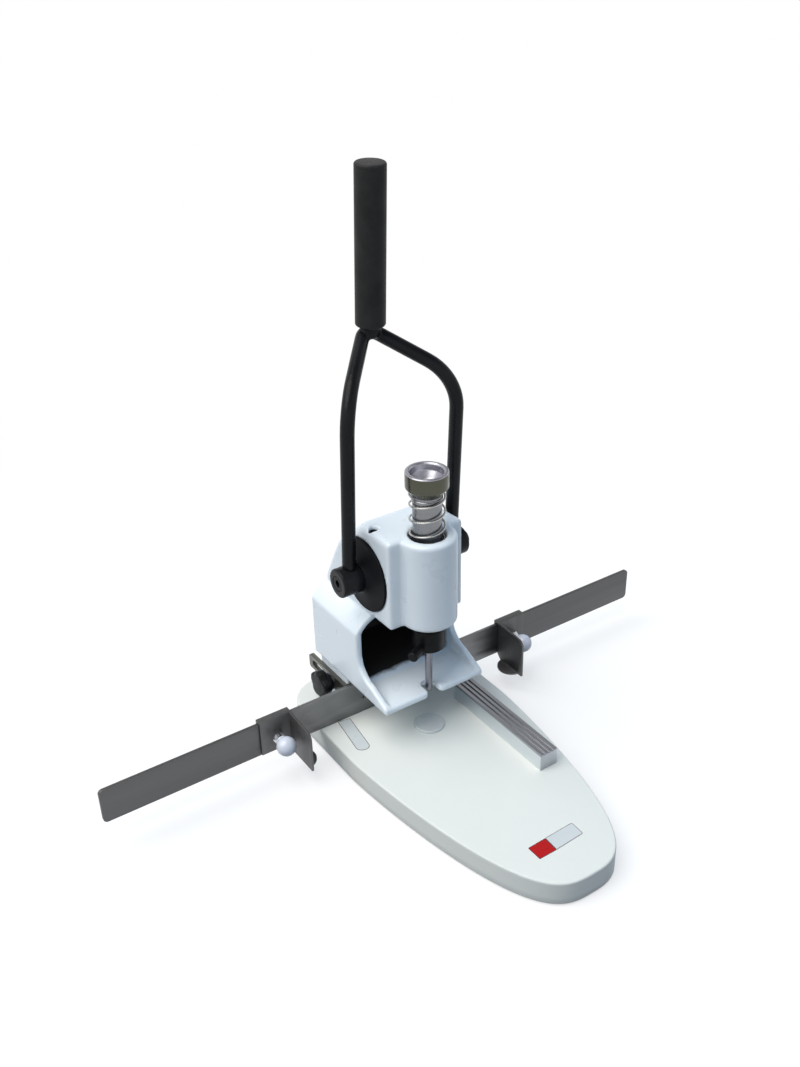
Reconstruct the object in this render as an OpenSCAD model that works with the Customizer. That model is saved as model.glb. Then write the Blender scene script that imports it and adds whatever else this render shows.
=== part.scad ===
// Heavy duty single hole punch with a rack and pinion lever.
// X = 0 is the machine's middle plane, Y = 0 the punch axis, Z = 0 the table.
// +X is the operator's right, the operator stands at -Y, +Z is up.

/* [Base plate] */
// Reach of the base in front of the punch axis
nose_reach = 219; // [190:1:250]
// Reach of the base behind the punch axis
base_rear = 120; // [116:1:150]
// Half of the base width at the punch axis
base_half = 84; // [78:0.5:92]
// Height of the working surface above the table
base_top = 24; // [22:0.5:30]
// Thickness of the base's upper skin
base_skin = 9; // [8.5:0.5:11]
// Thickness of the base's side wall
base_wall = 8; // [6:0.5:12]
// Rounding of the base's upper edge
base_edge = 1.75; // [1:0.25:4]
// Radius of the two rear corners
rear_corner = 34; // [20:1:45]
// Thickness of the ribs under the base
rib_t = 6; // [4:0.5:9]
// How far the rubber feet stand out below the base
foot_proud = 1.5; // [1:0.25:4]
// Radius of a rubber foot
foot_r = 9; // [7:0.5:11]

/* [Cutting pad] */
// Radius of the cutting pad
pad_r = 14; // [8:0.5:18]
// How far the pad stands above the working surface
pad_proud = 2.5; // [0.5:0.25:4]
// Depth of the pad's pocket in the base
pad_depth = 6; // [4:0.5:8]

/* [Side fence] */
// Distance of the fence from the base's widest point
fence_inset = 24.9; // [20:0.1:30]
// Width of the fence bar
fence_w = 17.9; // [14:0.1:20]
// Height of the fence bar
fence_h = 16.8; // [12:0.2:24]
// Front end of the fence bar, in front of the punch axis
fence_front = 106.3; // [80:0.5:125]
// Rear end of the fence bar, behind the punch axis
fence_rear = 18; // [10:0.5:24]

/* [Frame casting] */
// Half of the head block's width
head_half = 37.6; // [36:0.2:40]
// Front face of the head block, behind the punch axis
head_front = 1.4; // [0:0.2:3]
// Height of the head's top face
head_top = 224; // [222:0.5:232]
// Height of the head's underside
head_low = 140.3; // [138:0.5:142]
// Rounding of the head's upper edges
head_edge = 8; // [6:0.5:8]
// Rounding of the head's front edges
front_edge = 3.5; // [2.5:0.25:6]
// Radius of the barrel around the spindle
barrel_r = 25; // [22:0.5:28]
// Half of the housing's width
house_half = 52.4; // [50:0.2:56]
// Thickness of the housing's walls
house_wall = 6; // [5:0.5:8]
// Rear face of the casting, behind the punch axis
house_rear = 111.5; // [108:0.5:115]
// Front face of the housing's arch, behind the punch axis
arch_front = 34; // [30:0.5:38]
// Height of the housing's straight side walls
shoulder_low = 122.9; // [116:0.5:126]
// Underside of the tray above the table
tray_low = 63.3; // [62:0.2:66]
// Thickness of the tray
tray_t = 5.8; // [5:0.2:6.5]
// Front lip of the tray, in front of the punch axis
tray_lip = 9.9; // [8:0.2:14]
// Half width of the punch slot in the tray
slot_half = 6.2; // [5.3:0.1:6.5]
// Half of the width of the column under the tray
column_half = 48.5; // [46:0.2:50]
// Front face of the column, behind the punch axis
column_front = 60; // [59:0.5:63]
// Rear face of the column, behind the punch axis
column_rear = 108; // [104:0.5:110]

/* [Rack and pinion] */
// Tooth module of the rack and the pinion
gear_module = 2; // [1.8:0.05:2]
// Number of teeth on the pinion
pinion_teeth = 30; // [28:1:30]
// Face width of the pinion
pinion_w = 20; // [14:1:22]
// Pitch line of the rack, behind the spindle axis
rack_pitch_y = 10; // [9.8:0.05:10.1]
// Thinning of each tooth for free running
backlash = 0.12; // [0.08:0.02:0.2]
// Height of the cross shaft above the table
hub_z = 177.8; // [177:0.2:179]
// Radius of the cross shaft
shaft_r = 9; // [8:0.25:9.5]
// How far the handle turns from upright, in degrees
handle_turn = 70; // [50:1:70]

/* [Spindle and punch] */
// Radius of the spindle
spindle_r = 12.25; // [12.1:0.05:12.4]
// Radius of the spindle's waste bore
waste_r = 5; // [4:0.25:5.25]
// Height of the spindle cup's rim
cup_top = 281.3; // [278:0.1:284]
// Outer radius of the spindle cup
cup_r = 18; // [16.5:0.25:20]
// Outer radius of the chuck
chuck_r = 14.3; // [13.6:0.1:16]
// Height of the chuck's underside above the table
chuck_low = 112; // [109:0.1:112]
// Outer radius of the hollow punch
punch_r = 3.2; // [2.5:0.05:4]
// Inner radius of the hollow punch at its edge
punch_bore = 2.6; // [1.8:0.05:2.8]
// How far the punch screw stands out of the chuck
punch_screw_out = 15.5; // [10:0.5:16]
// Outer radius of the return spring
spring_r = 15.5; // [15.2:0.05:15.7]
// Radius of the spring wire
wire_r = 0.9; // [0.7:0.05:1]
// Pitch of the spring's open coils
spring_pitch = 13.4; // [10:0.2:16]

/* [Handle] */
// Lean of the handle towards the operator, in degrees
handle_lean = 3.38; // [0:0.1:5]
// Distance of the yoke's arms from the middle plane
arm_x = 53; // [50.5:0.25:55]
// Radius of the yoke's rod
arm_r = 6; // [5:0.25:7]
// Height of the corner that each side bend rounds off, above the shaft
arm_bend = 161; // [140:1:190]
// Radius of the side bends
bend_r = 43; // [20:1:44]
// Height of the corner that the top bend rounds off, above the side corners
yoke_rise = 35; // [25:0.5:70]
// How far that corner lies behind the arms
yoke_back = 57; // [45:0.5:65]
// Radius of the top bend
yoke_r = 10; // [8:0.5:12]
// Radius of the hand grip
grip_r = 12.5; // [10:0.25:18]
// Length of the hand grip
grip_len = 128; // [100:1:160]
// Radius of the hubs on the cross shaft
hub_r = 13; // [12.5:0.25:15]
// Outer face of the hubs, from the middle plane
hub_face = 64.7; // [63:0.2:70]
// Radius of the bearing cap's flange
flange_r = 33.6; // [33:0.1:36]

/* [Back stop] */
// Half of the back stop bar's length
bar_half = 290; // [200:5:350]
// Height of the back stop bar
bar_h = 33.6; // [30:0.2:37]
// Thickness of the back stop bar
bar_t = 3; // [2:0.25:3.5]
// Front face of the back stop bar, behind the punch axis
bar_y = 50.6; // [48:0.2:50.8]
// Thickness of a slide bar
slide_t = 4; // [3:0.25:5]
// Height of a slide bar
slide_h = 14.5; // [12:0.5:18]
// Middle height of the slide bars above the table
slide_z = 46.2; // [42:0.2:50]
// Rear end of the slide bars, behind the punch axis
slide_rear = 122.5; // [120:0.5:130]
// How far the back stop slides towards the operator
stop_forward = 30; // [10:1:30]
// Position of the clamp knob, behind the punch axis
knob_y = 81.7; // [80:0.1:84]
// Radius of the clamp knob's lobes
knob_r = 15; // [12:0.5:17]

/* [Side stops] */
// Inner face of the left side stop, from the middle plane
left_stop_x = 113.7; // [105:0.1:240]
// Inner face of the right side stop, from the middle plane
right_stop_x = 117.4; // [105:0.1:240]
// Width of a side stop's clamp plate
clamp_w = 31; // [24:0.5:40]
// Thickness of the side stops' sheet
sheet_t = 2; // [1.5:0.1:2.5]
// Front edge of the side stops, behind the punch axis
stop_front = 12.6; // [10:0.2:18]
// Height of the side stops' lower edge above the table
stop_low = 18; // [12:0.5:20]
// Radius of a ball knob
ball_r = 8.8; // [8:0.2:11]

/* [Fits] */
// Radial clearance of a shaft that turns or slides in its hole
running = 0.05; // [0.02:0.01:0.08]
// Gap between faces that pass each other
gap = 0.3; // [0.2:0.05:0.4]

/* [Hidden] */
$fn = 96;

// Paints, as the object shows them
enamel = [0.90, 0.93, 0.96];
base_paint = [0.87, 0.90, 0.89];
black_paint = [0.09, 0.09, 0.10];
steel = [0.62, 0.63, 0.65];
dark_steel = [0.36, 0.36, 0.37];
bronze = [0.70, 0.52, 0.30];
rubber = [0.08, 0.08, 0.08];
white_plastic = [0.93, 0.94, 0.96];
zinc = [0.66, 0.64, 0.56];
aluminium = [0.74, 0.75, 0.78];

// Base
outline_steps = 26;
foot_seat = 3;
foot_boss_r = foot_r + 3;
foot_places = [[-base_half + 27, base_rear - 32], [base_half - 27, base_rear - 32],
               [-34, -nose_reach + 64], [34, -nose_reach + 64]];
foot_screw_r = 2;
foot_top = foot_proud + foot_seat;
pad_boss_low = 8;
pad_low = base_top - pad_depth;
knockout_r = 4;

// Bolts that hold the casting down
bolt_r = 4;
bolt_head_r = 6.5;
bolt_head_h = 8;
bolt_seat = bolt_head_h + foot_proud + 1;
bolt_depth = 30;
bolt_inset = 12;
bolt_places = [for (sx = [-1, 1], y = [column_front + bolt_inset, column_rear - bolt_inset])
               [sx * (column_half - bolt_inset), y]];

// Fence
fence_x = base_half - fence_inset - fence_w;
fence_mid = fence_x + fence_w / 2;
fence_screw_r = 2.5;
fence_seat = 9;
fence_screw_depth = 10;
fence_screw_places = [-fence_front + 20, fence_rear - 16];
groove_w = 1.8;
groove_d = 1.2;

// Casting
tray_top = tray_low + tray_t;
slot_end = 1.5;
slot_round = 4;
shoulder_r = 31.5;
shoulder_start = 28;
shoulder_x = house_half - shoulder_r * cos(shoulder_start);
shoulder_z = shoulder_low - shoulder_r * sin(shoulder_start);
shoulder_end = acos((head_half - 2 - shoulder_x) / shoulder_r);
vault_r = shoulder_r - house_wall + 0.5;
arch_r = 22;
hump_edge = 5;
hub_y = rack_pitch_y + gear_module * pinion_teeth / 2;
cap_bore_r = gear_module * (pinion_teeth / 2 + 1) + 0.5;
cap_screw_x = head_half - 6.1;
cap_screw_y = hub_y - 7;
cap_screw_r = 4;
cap_spigot = 9;
bell_steps = 8;
recess_r = spring_r + 0.7;
recess_low = head_top - 13;
bush_low = hub_z + sqrt(pow(cap_bore_r, 2) - pow(hub_y - recess_r, 2)) + 1.5;
bush_h = recess_low - bush_low;
lower_bush_h = 13.5;
bush_wall = 3.4;

// Gear
tooth_pitch = PI * gear_module;
pitch_r = gear_module * pinion_teeth / 2;
tip_r = pitch_r + gear_module;
root_r = pitch_r - 1.25 * gear_module;
pressure = 20;
stroke = handle_turn * PI / 180 * pitch_r;
rack_reach = sqrt(tip_r * tip_r - (hub_y - spindle_r) * (hub_y - spindle_r));
rack_first = -ceil(rack_reach / tooth_pitch);
rack_last = ceil((stroke + rack_reach) / tooth_pitch);

// Spindle
spindle_top = cup_top - 15.3;
cup_neck_r = spring_r - 2 * wire_r - 0.6;
cup_neck = 26.3;
cup_taper = 20.3;
cup_groove = cup_top - 22.5;
cup_belt = 13.8;
chuck_top = head_low - gap;
chuck_socket = 13.5;
shank_r = 5;
shank_len = 13.5;
punch_tip = base_top + pad_proud + 0.25 + stroke;
punch_screw_r = 2.5;
punch_screw_neck = 3.2;
punch_screw_head = 4.6;
punch_screw_up = 5;
punch_screw_turn = 207;
neck_len = 4.6;
neck_edge = 0.8;
spring_low = recess_low + wire_r;
spring_high = cup_top - cup_taper + 0.2;
closed_turns = 0.5;
spring_phase = 10;
mean_r = spring_r - wire_r;

// Handle
key_w = 5;
key_low = shaft_r - 2.6;
cap_in = pinion_w / 2 + gap;
cap_out = head_half + 7.4;
hub_in = cap_out + gap;
shaft_end = hub_face - 7.7;
hub_screw_r = 4;
hub_head_r = 6.6;
hub_head_h = 4.2;
core_r = 8;
side_corner = [arm_x, 0, arm_bend];
top_corner = [0, yoke_back, arm_bend + yoke_rise];
yoke_lean = unit(top_corner - [0, 0, arm_bend]);
yoke_apex = top_corner - yoke_lean * yoke_r * (norm(top_corner - side_corner) / arm_x - 1);
grip_forward = 3.3;
grip_axis = yoke_apex.y - grip_forward;
grip_edge = 0.8;
core_foot = 3;
core_foot_r = 3;
cap_h = 4;
grip_low = yoke_apex.z + arm_r + 2;
grip_high = grip_low + grip_len - cap_h;
bend_steps = 10;
rod_sides = 24;
rod_twist = [0, 1, -1];

// Back stop
bar_low = base_top + gap;
bar_high = bar_low + bar_h;
bar_back = bar_y + bar_t;
bar_corner = 4;
slide_in = column_half + 0.5;
slide_out = slide_in + slide_t;
tab_t = 3;
tab_in = slide_in - 16;
tab_low = slide_z - 10.5;
tab_high = slide_z + 10.5;
stop_back = column_front - bar_back - tab_t - gap;
stud_r = 3;
slot_r = stud_r + 0.4;
stud_depth = 20;
washer_r = 8;
washer_t = 1.5;
knob_in = slide_out + washer_t + 2 * gap;
knob_t = 13;
knob_lobes = 5;
stop_screw_r = 2;
stop_screw_x = tab_in + 5;

// Side stops
plate_front = bar_y - gap - sheet_t;
hook_low = bar_high + gap;
hook_back = bar_back + gap;
nut_t = 4;
nut_r = 5.8;
clamp_z = 40.6;
clamp_in = 15.8;
ball_y = 30.6;
tab_front = stop_front + 5;
tab_rear = bar_y - 6.6;
tab_r = (tab_rear - tab_front) / 2;
corner_r = 7;

// Extrudes a (y, z) outline along X, and an (x, z) outline along Y
module along_x(x0, x1) translate([x0, 0, 0]) rotate([90, 0, 90]) linear_extrude(x1 - x0) children();
module along_y(y0, y1) translate([0, y1, 0]) rotate([90, 0, 0]) linear_extrude(y1 - y0) children();
module turned_x() rotate([0, 90, 0]) children();
module at_hub() translate([0, hub_y, hub_z]) children();
module leaned() at_hub() rotate([handle_lean, 0, 0]) children();

// Points of an arc, in the order of the angles
function arc(cx, cy, r, a0, a1, n) = [for (i = [0:n]) let (a = a0 + (a1 - a0) * i / n)
    [cx + r * cos(a), cy + r * sin(a)]];
function round_rect(x0, x1, y0, y1, r) = concat(
    arc(x1 - r, y0 + r, r, -90, 0, 6), arc(x1 - r, y1 - r, r, 0, 90, 6),
    arc(x0 + r, y1 - r, r, 90, 180, 6), arc(x0 + r, y0 + r, r, 180, 270, 6));

// The nose is a blunt oval: half width = half * (1 - t^1.3)^(1/3), t from the punch axis to the tip
function nose_half(t, half) = half * pow(1 - pow(t, 1.3), 1 / 3);
function base_side(in) = [for (i = [0:outline_steps]) let (s = i / outline_steps, t = 1 - pow(1 - s, 2.5))
    [nose_half(t, base_half - in), -(nose_reach - in) * t]];
function base_outline(in) = concat(
    base_side(in),
    [for (i = [outline_steps - 1:-1:0]) [-base_side(in)[i].x, base_side(in)[i].y]],
    arc(-base_half + rear_corner, base_rear - rear_corner, rear_corner - in, 180, 90, 10),
    arc(base_half - rear_corner, base_rear - rear_corner, rear_corner - in, 90, 0, 10));

module base_layer(in, z, h) translate([0, 0, z]) linear_extrude(h) polygon(base_outline(in));

module base_ribs() {
    for (y = [-140, -70, 36])
        translate([-base_half, y - rib_t / 2, foot_proud + 2]) cube([2 * base_half, rib_t, base_top - foot_proud - 4]);
    for (x = [-26, 26])
        translate([x - rib_t / 2, -nose_reach + 4, foot_proud + 2])
            cube([rib_t, nose_reach + base_rear - 8, base_top - foot_proud - 4]);
}

module base_bosses() {
    for (p = foot_places)
        translate([p.x, p.y, foot_proud]) cylinder(r = foot_boss_r, h = base_top - foot_proud - 2);
    for (p = bolt_places)
        translate([p.x, p.y, bolt_seat]) cylinder(r = bolt_head_r + 4, h = base_top - bolt_seat - 2);
    for (y = fence_screw_places)
        translate([fence_mid, y, fence_seat]) cylinder(r = 8, h = base_top - fence_seat - 2);
    translate([0, 0, pad_boss_low]) cylinder(r = pad_r + 6, h = base_top - pad_boss_low - 2);
}

module base_plate() {
    color(base_paint) difference() {
        union() {
            difference() {
                hull() {
                    base_layer(0, foot_proud, base_top - base_edge - foot_proud);
                    base_layer(base_edge * 0.3, base_top - base_edge * 0.3 - 0.1, 0.1);
                    base_layer(base_edge, base_top - 0.1, 0.1);
                }
                translate([0, 0, foot_proud - 1])
                    linear_extrude(base_top - base_skin - foot_proud + 1) polygon(base_outline(base_wall));
            }
            intersection() {
                union() {
                    base_ribs();
                    base_bosses();
                }
                translate([0, 0, foot_proud]) linear_extrude(base_top - foot_proud - 1)
                    polygon(base_outline(base_wall / 2));
            }
        }
        translate([0, 0, pad_low]) cylinder(r = pad_r, h = base_top);
        translate([0, 0, -1]) cylinder(r = knockout_r, h = base_top);
        for (p = foot_places) translate([p.x, p.y, 0]) {
            translate([0, 0, -1]) cylinder(r = foot_r, h = foot_top + 1);
            cylinder(r = foot_screw_r, h = foot_top + 11);
        }
        for (p = bolt_places) translate([p.x, p.y, -1]) {
            cylinder(r = bolt_head_r + 0.5, h = bolt_seat + 1);
            cylinder(r = bolt_r + 0.25, h = base_top + 2);
        }
        for (y = fence_screw_places) translate([fence_mid, y, -1]) {
            cylinder(r = 5, h = fence_seat + 1);
            cylinder(r = fence_screw_r + 0.2, h = base_top + 2);
        }
    }
}

module rubber_feet() {
    color(rubber) for (p = foot_places) translate([p.x, p.y, 0]) difference() {
        cylinder(r = foot_r, h = foot_top);
        translate([0, 0, -1]) cylinder(r = 4.2, h = 3);
        cylinder(r = foot_screw_r, h = foot_top + 1);
    }
}

module foot_screws() {
    color(steel) for (p = foot_places) translate([p.x, p.y, 0]) difference() {
        union() {
            translate([0, 0, 0.6]) cylinder(r = 3.6, h = 1.4);
            translate([0, 0, 1]) cylinder(r = foot_screw_r, h = foot_top + 8);
        }
        for (a = [0, 90]) rotate(a) translate([-2.2, -0.4, 0]) cube([4.4, 0.8, 1.4]);
    }
}

module cutting_pad() {
    color(white_plastic) translate([0, 0, pad_low]) rotate_extrude()
        polygon([[0, 0], [pad_r, 0], [pad_r, pad_depth + pad_proud - 1],
                 [pad_r - 1, pad_depth + pad_proud], [0, pad_depth + pad_proud]]);
}

module side_fence() {
    color(aluminium) difference() {
        translate([fence_x, -fence_front, base_top]) cube([fence_w, fence_front + fence_rear, fence_h]);
        for (k = [1:3])
            translate([fence_x + fence_w * k / 4 - groove_w / 2, -fence_front - 1, base_top + fence_h - groove_d])
                cube([groove_w, fence_front + fence_rear + 2, groove_d + 1]);
        for (y = fence_screw_places)
            translate([fence_mid, y, base_top - 1]) cylinder(r = fence_screw_r, h = fence_screw_depth + 2);
    }
}

module socket_cut(r, h) cylinder(r = r, h = h, $fn = 6);

module fence_screws() {
    color(steel) for (y = fence_screw_places) translate([fence_mid, y, 0]) difference() {
        union() {
            translate([0, 0, fence_seat - 5]) cylinder(r = 4.3, h = 5);
            translate([0, 0, fence_seat - 1]) cylinder(r = fence_screw_r, h = base_top - fence_seat + fence_screw_depth);
        }
        translate([0, 0, fence_seat - 6]) socket_cut(2.3, 3.5);
    }
}

// The head: a rounded block whose back slopes down into the housing
head_spots = [[head_front + front_edge, head_top - front_edge, front_edge],
              [hub_y + 4, head_top - head_edge, head_edge],
              [house_rear - 31, 187.5, hump_edge],
              [house_rear - 18, 164, hump_edge],
              [house_rear - 7.4, 143.5, hump_edge]];

module head_block() {
    hull() {
        for (sx = [-1, 1], s = head_spots)
            translate([sx * (head_half - s[2]), s[0], s[1]]) sphere(r = s[2], $fn = 28);
        translate([0, 0, head_low]) linear_extrude(4) polygon(concat(
            arc(head_half - front_edge, head_front + front_edge, front_edge, -90, 0, 8),
            arc(head_half - hump_edge, house_rear - 7.4, hump_edge, 0, 90, 8),
            arc(-head_half + hump_edge, house_rear - 7.4, hump_edge, 90, 180, 8),
            arc(-head_half + front_edge, head_front + front_edge, front_edge, 180, 270, 8)));
    }
}

module barrel() {
    rotate_extrude() polygon(concat(
        [[0, head_low]], arc(barrel_r - 3, head_low + 3, 3, -90, 0, 6),
        arc(barrel_r - front_edge, head_top - front_edge, front_edge, 0, 90, 8), [[0, head_top]]));
}

// Cross section of the housing: upright sides, then a shoulder that is an arc about one centre
function section(half, floor_z, r, a0, a1, top_z) = concat(
    [[half, floor_z]], arc(shoulder_x, shoulder_z, r, a0, a1, 10), [[shoulder_x + r * cos(a1), top_z]],
    [[-shoulder_x - r * cos(a1), top_z]], arc(-shoulder_x, shoulder_z, r, 180 - a1, 180 - a0, 10), [[-half, floor_z]]);

// Side view of the housing: a low lip that sweeps up into the arch
function side_view() = concat(
    [[-tray_lip, tray_low], [-tray_lip, tray_top - 1.5], [-tray_lip + 1.5, tray_top + 0.6]],
    arc(arch_front - arch_r, tray_top + 10.2 + arch_r, arch_r, -85, 0, 10),
    [[arch_front, head_low + 0.7], [house_rear - 2, head_low + 0.7], [house_rear, shoulder_low],
     [house_rear, tray_low]]);

module housing() {
    difference() {
        intersection() {
            along_y(-tray_lip - 1, house_rear)
                polygon(section(house_half, tray_low, shoulder_r, shoulder_start, shoulder_end, head_low + 0.7));
            along_x(-house_half - 1, house_half + 1) polygon(side_view());
        }
        along_y(-tray_lip - 2, house_rear - house_wall)
            polygon(section(house_half - house_wall, tray_top, vault_r,
                            acos((house_half - house_wall - shoulder_x) / vault_r), 90, shoulder_z + vault_r));
    }
}

module column() {
    difference() {
        translate([-column_half, column_front, base_top])
            cube([2 * column_half, column_rear - column_front, tray_low - base_top + 0.5]);
        translate([-22, column_front + 8, base_top - 1])
            cube([44, column_rear - column_front - 16, tray_low - base_top - 8]);
    }
}

module frame_casting() {
    color(enamel) difference() {
        union() {
            head_block();
            barrel();
            housing();
            column();
        }
        translate([0, 0, head_low - 1]) cylinder(r = spindle_r + 1.5, h = head_top);
        translate([0, 0, bush_low]) cylinder(r = recess_r, h = head_top);
        translate([0, 0, head_low - 1]) cylinder(r = spindle_r + bush_wall, h = lower_bush_h + 1);
        at_hub() turned_x() translate([0, 0, -head_half - 1]) cylinder(r = cap_bore_r, h = 2 * head_half + 2);
        translate([0, slot_end, tray_low - 1]) cylinder(r = slot_half, h = tray_t + 2);
        translate([0, 0, tray_low - 1]) linear_extrude(tray_t + 2) polygon(concat(
            [[slot_half, slot_end], [-slot_half, slot_end]],
            arc(-slot_half - slot_round, slot_round - tray_lip, slot_round, 0, -90, 6),
            [[-slot_half - slot_round, -tray_lip - 1], [slot_half + slot_round, -tray_lip - 1]],
            arc(slot_half + slot_round, slot_round - tray_lip, slot_round, 270, 180, 6)));
        for (p = bolt_places) translate([p.x, p.y, base_top - 1]) cylinder(r = bolt_r, h = bolt_depth + 2);
        for (sx = [-1, 1]) translate([sx * cap_screw_x, cap_screw_y, hub_z]) cylinder(r = cap_screw_r, h = head_top);
        translate([-column_half - 1, knob_y, slide_z]) turned_x() cylinder(r = stud_r + running, h = stud_depth + 1);
        translate([column_half + 1, knob_y, slide_z]) rotate([0, -90, 0]) cylinder(r = stud_r, h = stud_depth + 1);
    }
}

module frame_bolts() {
    color(steel) for (p = bolt_places) translate([p.x, p.y, 0]) difference() {
        union() {
            translate([0, 0, bolt_seat - bolt_head_h]) cylinder(r = bolt_head_r, h = bolt_head_h);
            translate([0, 0, bolt_seat - 1]) cylinder(r = bolt_r, h = base_top - bolt_seat + bolt_depth);
        }
        translate([0, 0, bolt_seat - bolt_head_h - 1]) socket_cut(3.9, 5);
    }
}

module bush(r, wall, h) difference() {
    cylinder(r = r + wall, h = h);
    translate([0, 0, -1]) cylinder(r = r + running, h = h + 2);
}

module upper_guide_bush() {
    color(bronze) translate([0, 0, bush_low]) bush(spindle_r, recess_r - spindle_r, bush_h);
}

module lower_guide_bush() {
    color(bronze) translate([0, 0, head_low]) bush(spindle_r, bush_wall, lower_bush_h);
}

// Bearing cap, on the right: a turned disc whose face sweeps up to the hub like a trumpet's bell
module bearing_cap() {
    at_hub() rotate([0, 90, 0]) rotate_extrude() polygon([
        [shaft_r + 3, cap_in], [shaft_r + 8, cap_in], [shaft_r + 8, head_half - 5],
        [cap_bore_r - 6, head_half - 4], [cap_bore_r - 5, head_half - cap_spigot],
        [cap_bore_r, head_half - cap_spigot], [cap_bore_r, head_half], [flange_r, head_half],
        [flange_r, head_half + 1], [flange_r - 0.8, head_half + 1.8],
        each [for (i = [1:bell_steps]) let (a = 90 * i / bell_steps)
            [flange_r - 0.8 - (flange_r - 1.4 - hub_r) * sin(a), cap_out - (cap_out - head_half - 1.8) * cos(a)]],
        [shaft_r + 3, cap_out]]);
}

module right_bearing_cap() color(black_paint) bearing_cap();
module left_bearing_cap() color(black_paint) mirror([1, 0, 0]) bearing_cap();

module shaft_bush(side) {
    color(bronze) at_hub() rotate([0, 90 * side, 0]) translate([0, 0, cap_in]) bush(shaft_r, 3, cap_out - cap_in);
}
module left_shaft_bush() shaft_bush(-1);
module right_shaft_bush() shaft_bush(1);

module cap_lock_screws() {
    seat = hub_z + sqrt(pow(cap_bore_r, 2) - pow(cap_screw_y - hub_y, 2)) + cap_screw_r / 4;
    color(black_paint) for (sx = [-1, 1]) translate([sx * cap_screw_x, cap_screw_y, seat]) difference() {
        cylinder(r = cap_screw_r, h = head_top - seat - 3.6);
        translate([0, 0, head_top - seat - 7.5]) socket_cut(2.3, 6);
    }
}

// Return spring: closed end coils and open coils between them
function spring_turns() = 2 * closed_turns + open_turns;
function spring_z(t) = t < closed_turns ? spring_low + t * closed_rise / closed_turns
    : t < closed_turns + open_turns ? spring_low + closed_rise + (t - closed_turns) * spring_pitch
    : spring_high - (spring_turns() - t) * closed_rise / closed_turns;
closed_rise = 1.5 * wire_r;
open_turns = (spring_high - spring_low - 2 * closed_rise) / spring_pitch;
spring_rings = 110;
wire_sides = 8;

function spring_ring(i) = let (t = spring_turns() * i / spring_rings,
                               a = spring_phase - 360 * (closed_turns + open_turns - t), z = spring_z(t))
    [for (k = [0:wire_sides - 1]) let (b = 360 * k / wire_sides, r = mean_r + wire_r * cos(b))
        [r * cos(a), r * sin(a), z + wire_r * sin(b)]];

module return_spring() {
    points = [for (i = [0:spring_rings], p = spring_ring(i)) p];
    walls = [for (i = [0:spring_rings - 1], k = [0:wire_sides - 1])
        let (a = i * wire_sides + k, b = i * wire_sides + (k + 1) % wire_sides)
        [a, b, b + wire_sides, a + wire_sides]];
    first = [for (k = [wire_sides - 1:-1:0]) k];
    last = [for (k = [0:wire_sides - 1]) spring_rings * wire_sides + k];
    color(steel) polyhedron(points, concat(walls, [first], [last]), convexity = 10);
}

module right_guide_screw() {
    color(steel) translate([0, knob_y, slide_z]) turned_x() difference() {
        union() {
            translate([0, 0, column_half - stud_depth + 1]) cylinder(r = stud_r, h = slide_out - column_half + stud_depth);
            translate([0, 0, slide_out + gap]) cylinder(r = 6.5, h = 4);
        }
        translate([0, 0, slide_out + gap + 2]) socket_cut(2.3, 3);
    }
}

module key(x0, x1) translate([x0, -key_w / 2, key_low]) cube([x1 - x0, key_w, key_w]);
hub_key = [hub_in + 0.5, shaft_end - 0.5];

module shaft_keys() {
    color(steel) leaned() {
        key(-pinion_w / 2 + 1, pinion_w / 2 - 1);
        key(hub_key[0], hub_key[1]);
        key(-hub_key[1], -hub_key[0]);
    }
}

module cross_shaft() {
    color(steel) difference() {
        at_hub() turned_x() translate([0, 0, -shaft_end]) cylinder(r = shaft_r, h = 2 * shaft_end);
        leaned() {
            key(-pinion_w / 2 + 1, pinion_w / 2 - 1);
            key(hub_key[0], hub_key[1]);
            key(-hub_key[1], -hub_key[0]);
        }
        for (s = [-1, 1]) at_hub() rotate([0, 90 * s, 0])
            translate([0, 0, shaft_end - 16]) cylinder(r = hub_screw_r, h = 17);
    }
}

// Involute tooth: half of its angle at radius r
base_r = pitch_r * cos(pressure);
function inv(a) = tan(a) - a * PI / 180;
function tooth_half(r) = (tooth_pitch / 2 - backlash) / 2 / pitch_r * 180 / PI
    + (inv(pressure) - inv(acos(min(1, base_r / r)))) * 180 / PI;
flank_steps = 4;
function tooth(c) = concat(
    [[root_r * cos(c - tooth_half(base_r)), root_r * sin(c - tooth_half(base_r))]],
    [for (i = [0:flank_steps]) let (r = base_r + (tip_r - base_r) * i / flank_steps, a = c - tooth_half(r))
        [r * cos(a), r * sin(a)]],
    [for (i = [flank_steps:-1:0]) let (r = base_r + (tip_r - base_r) * i / flank_steps, a = c + tooth_half(r))
        [r * cos(a), r * sin(a)]],
    [[root_r * cos(c + tooth_half(base_r)), root_r * sin(c + tooth_half(base_r))]]);

// A gap of the pinion faces the rack, where the rack has a tooth
module pinion() {
    color(steel) difference() {
        at_hub() along_x(-pinion_w / 2, pinion_w / 2)
            polygon([for (k = [0:pinion_teeth - 1], p = tooth(180 + (k + 0.5) * 360 / pinion_teeth)) p]);
        at_hub() turned_x() translate([0, 0, -pinion_w]) cylinder(r = shaft_r, h = 2 * pinion_w);
        leaned() key(-pinion_w, pinion_w);
    }
}

module hub() {
    difference() {
        at_hub() turned_x() translate([0, 0, hub_in]) rotate_extrude() polygon([
            [0, 0], [hub_r, 0], [hub_r, hub_face - hub_in - 1.2], [hub_r - 1.2, hub_face - hub_in],
            [0, hub_face - hub_in]]);
        at_hub() turned_x() translate([0, 0, hub_in - 1]) cylinder(r = shaft_r, h = shaft_end - hub_in + 1);
        at_hub() turned_x() translate([0, 0, hub_in]) cylinder(r = hub_screw_r + 0.25, h = 40);
        leaned() key(hub_in - 1, shaft_end);
    }
}

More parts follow.
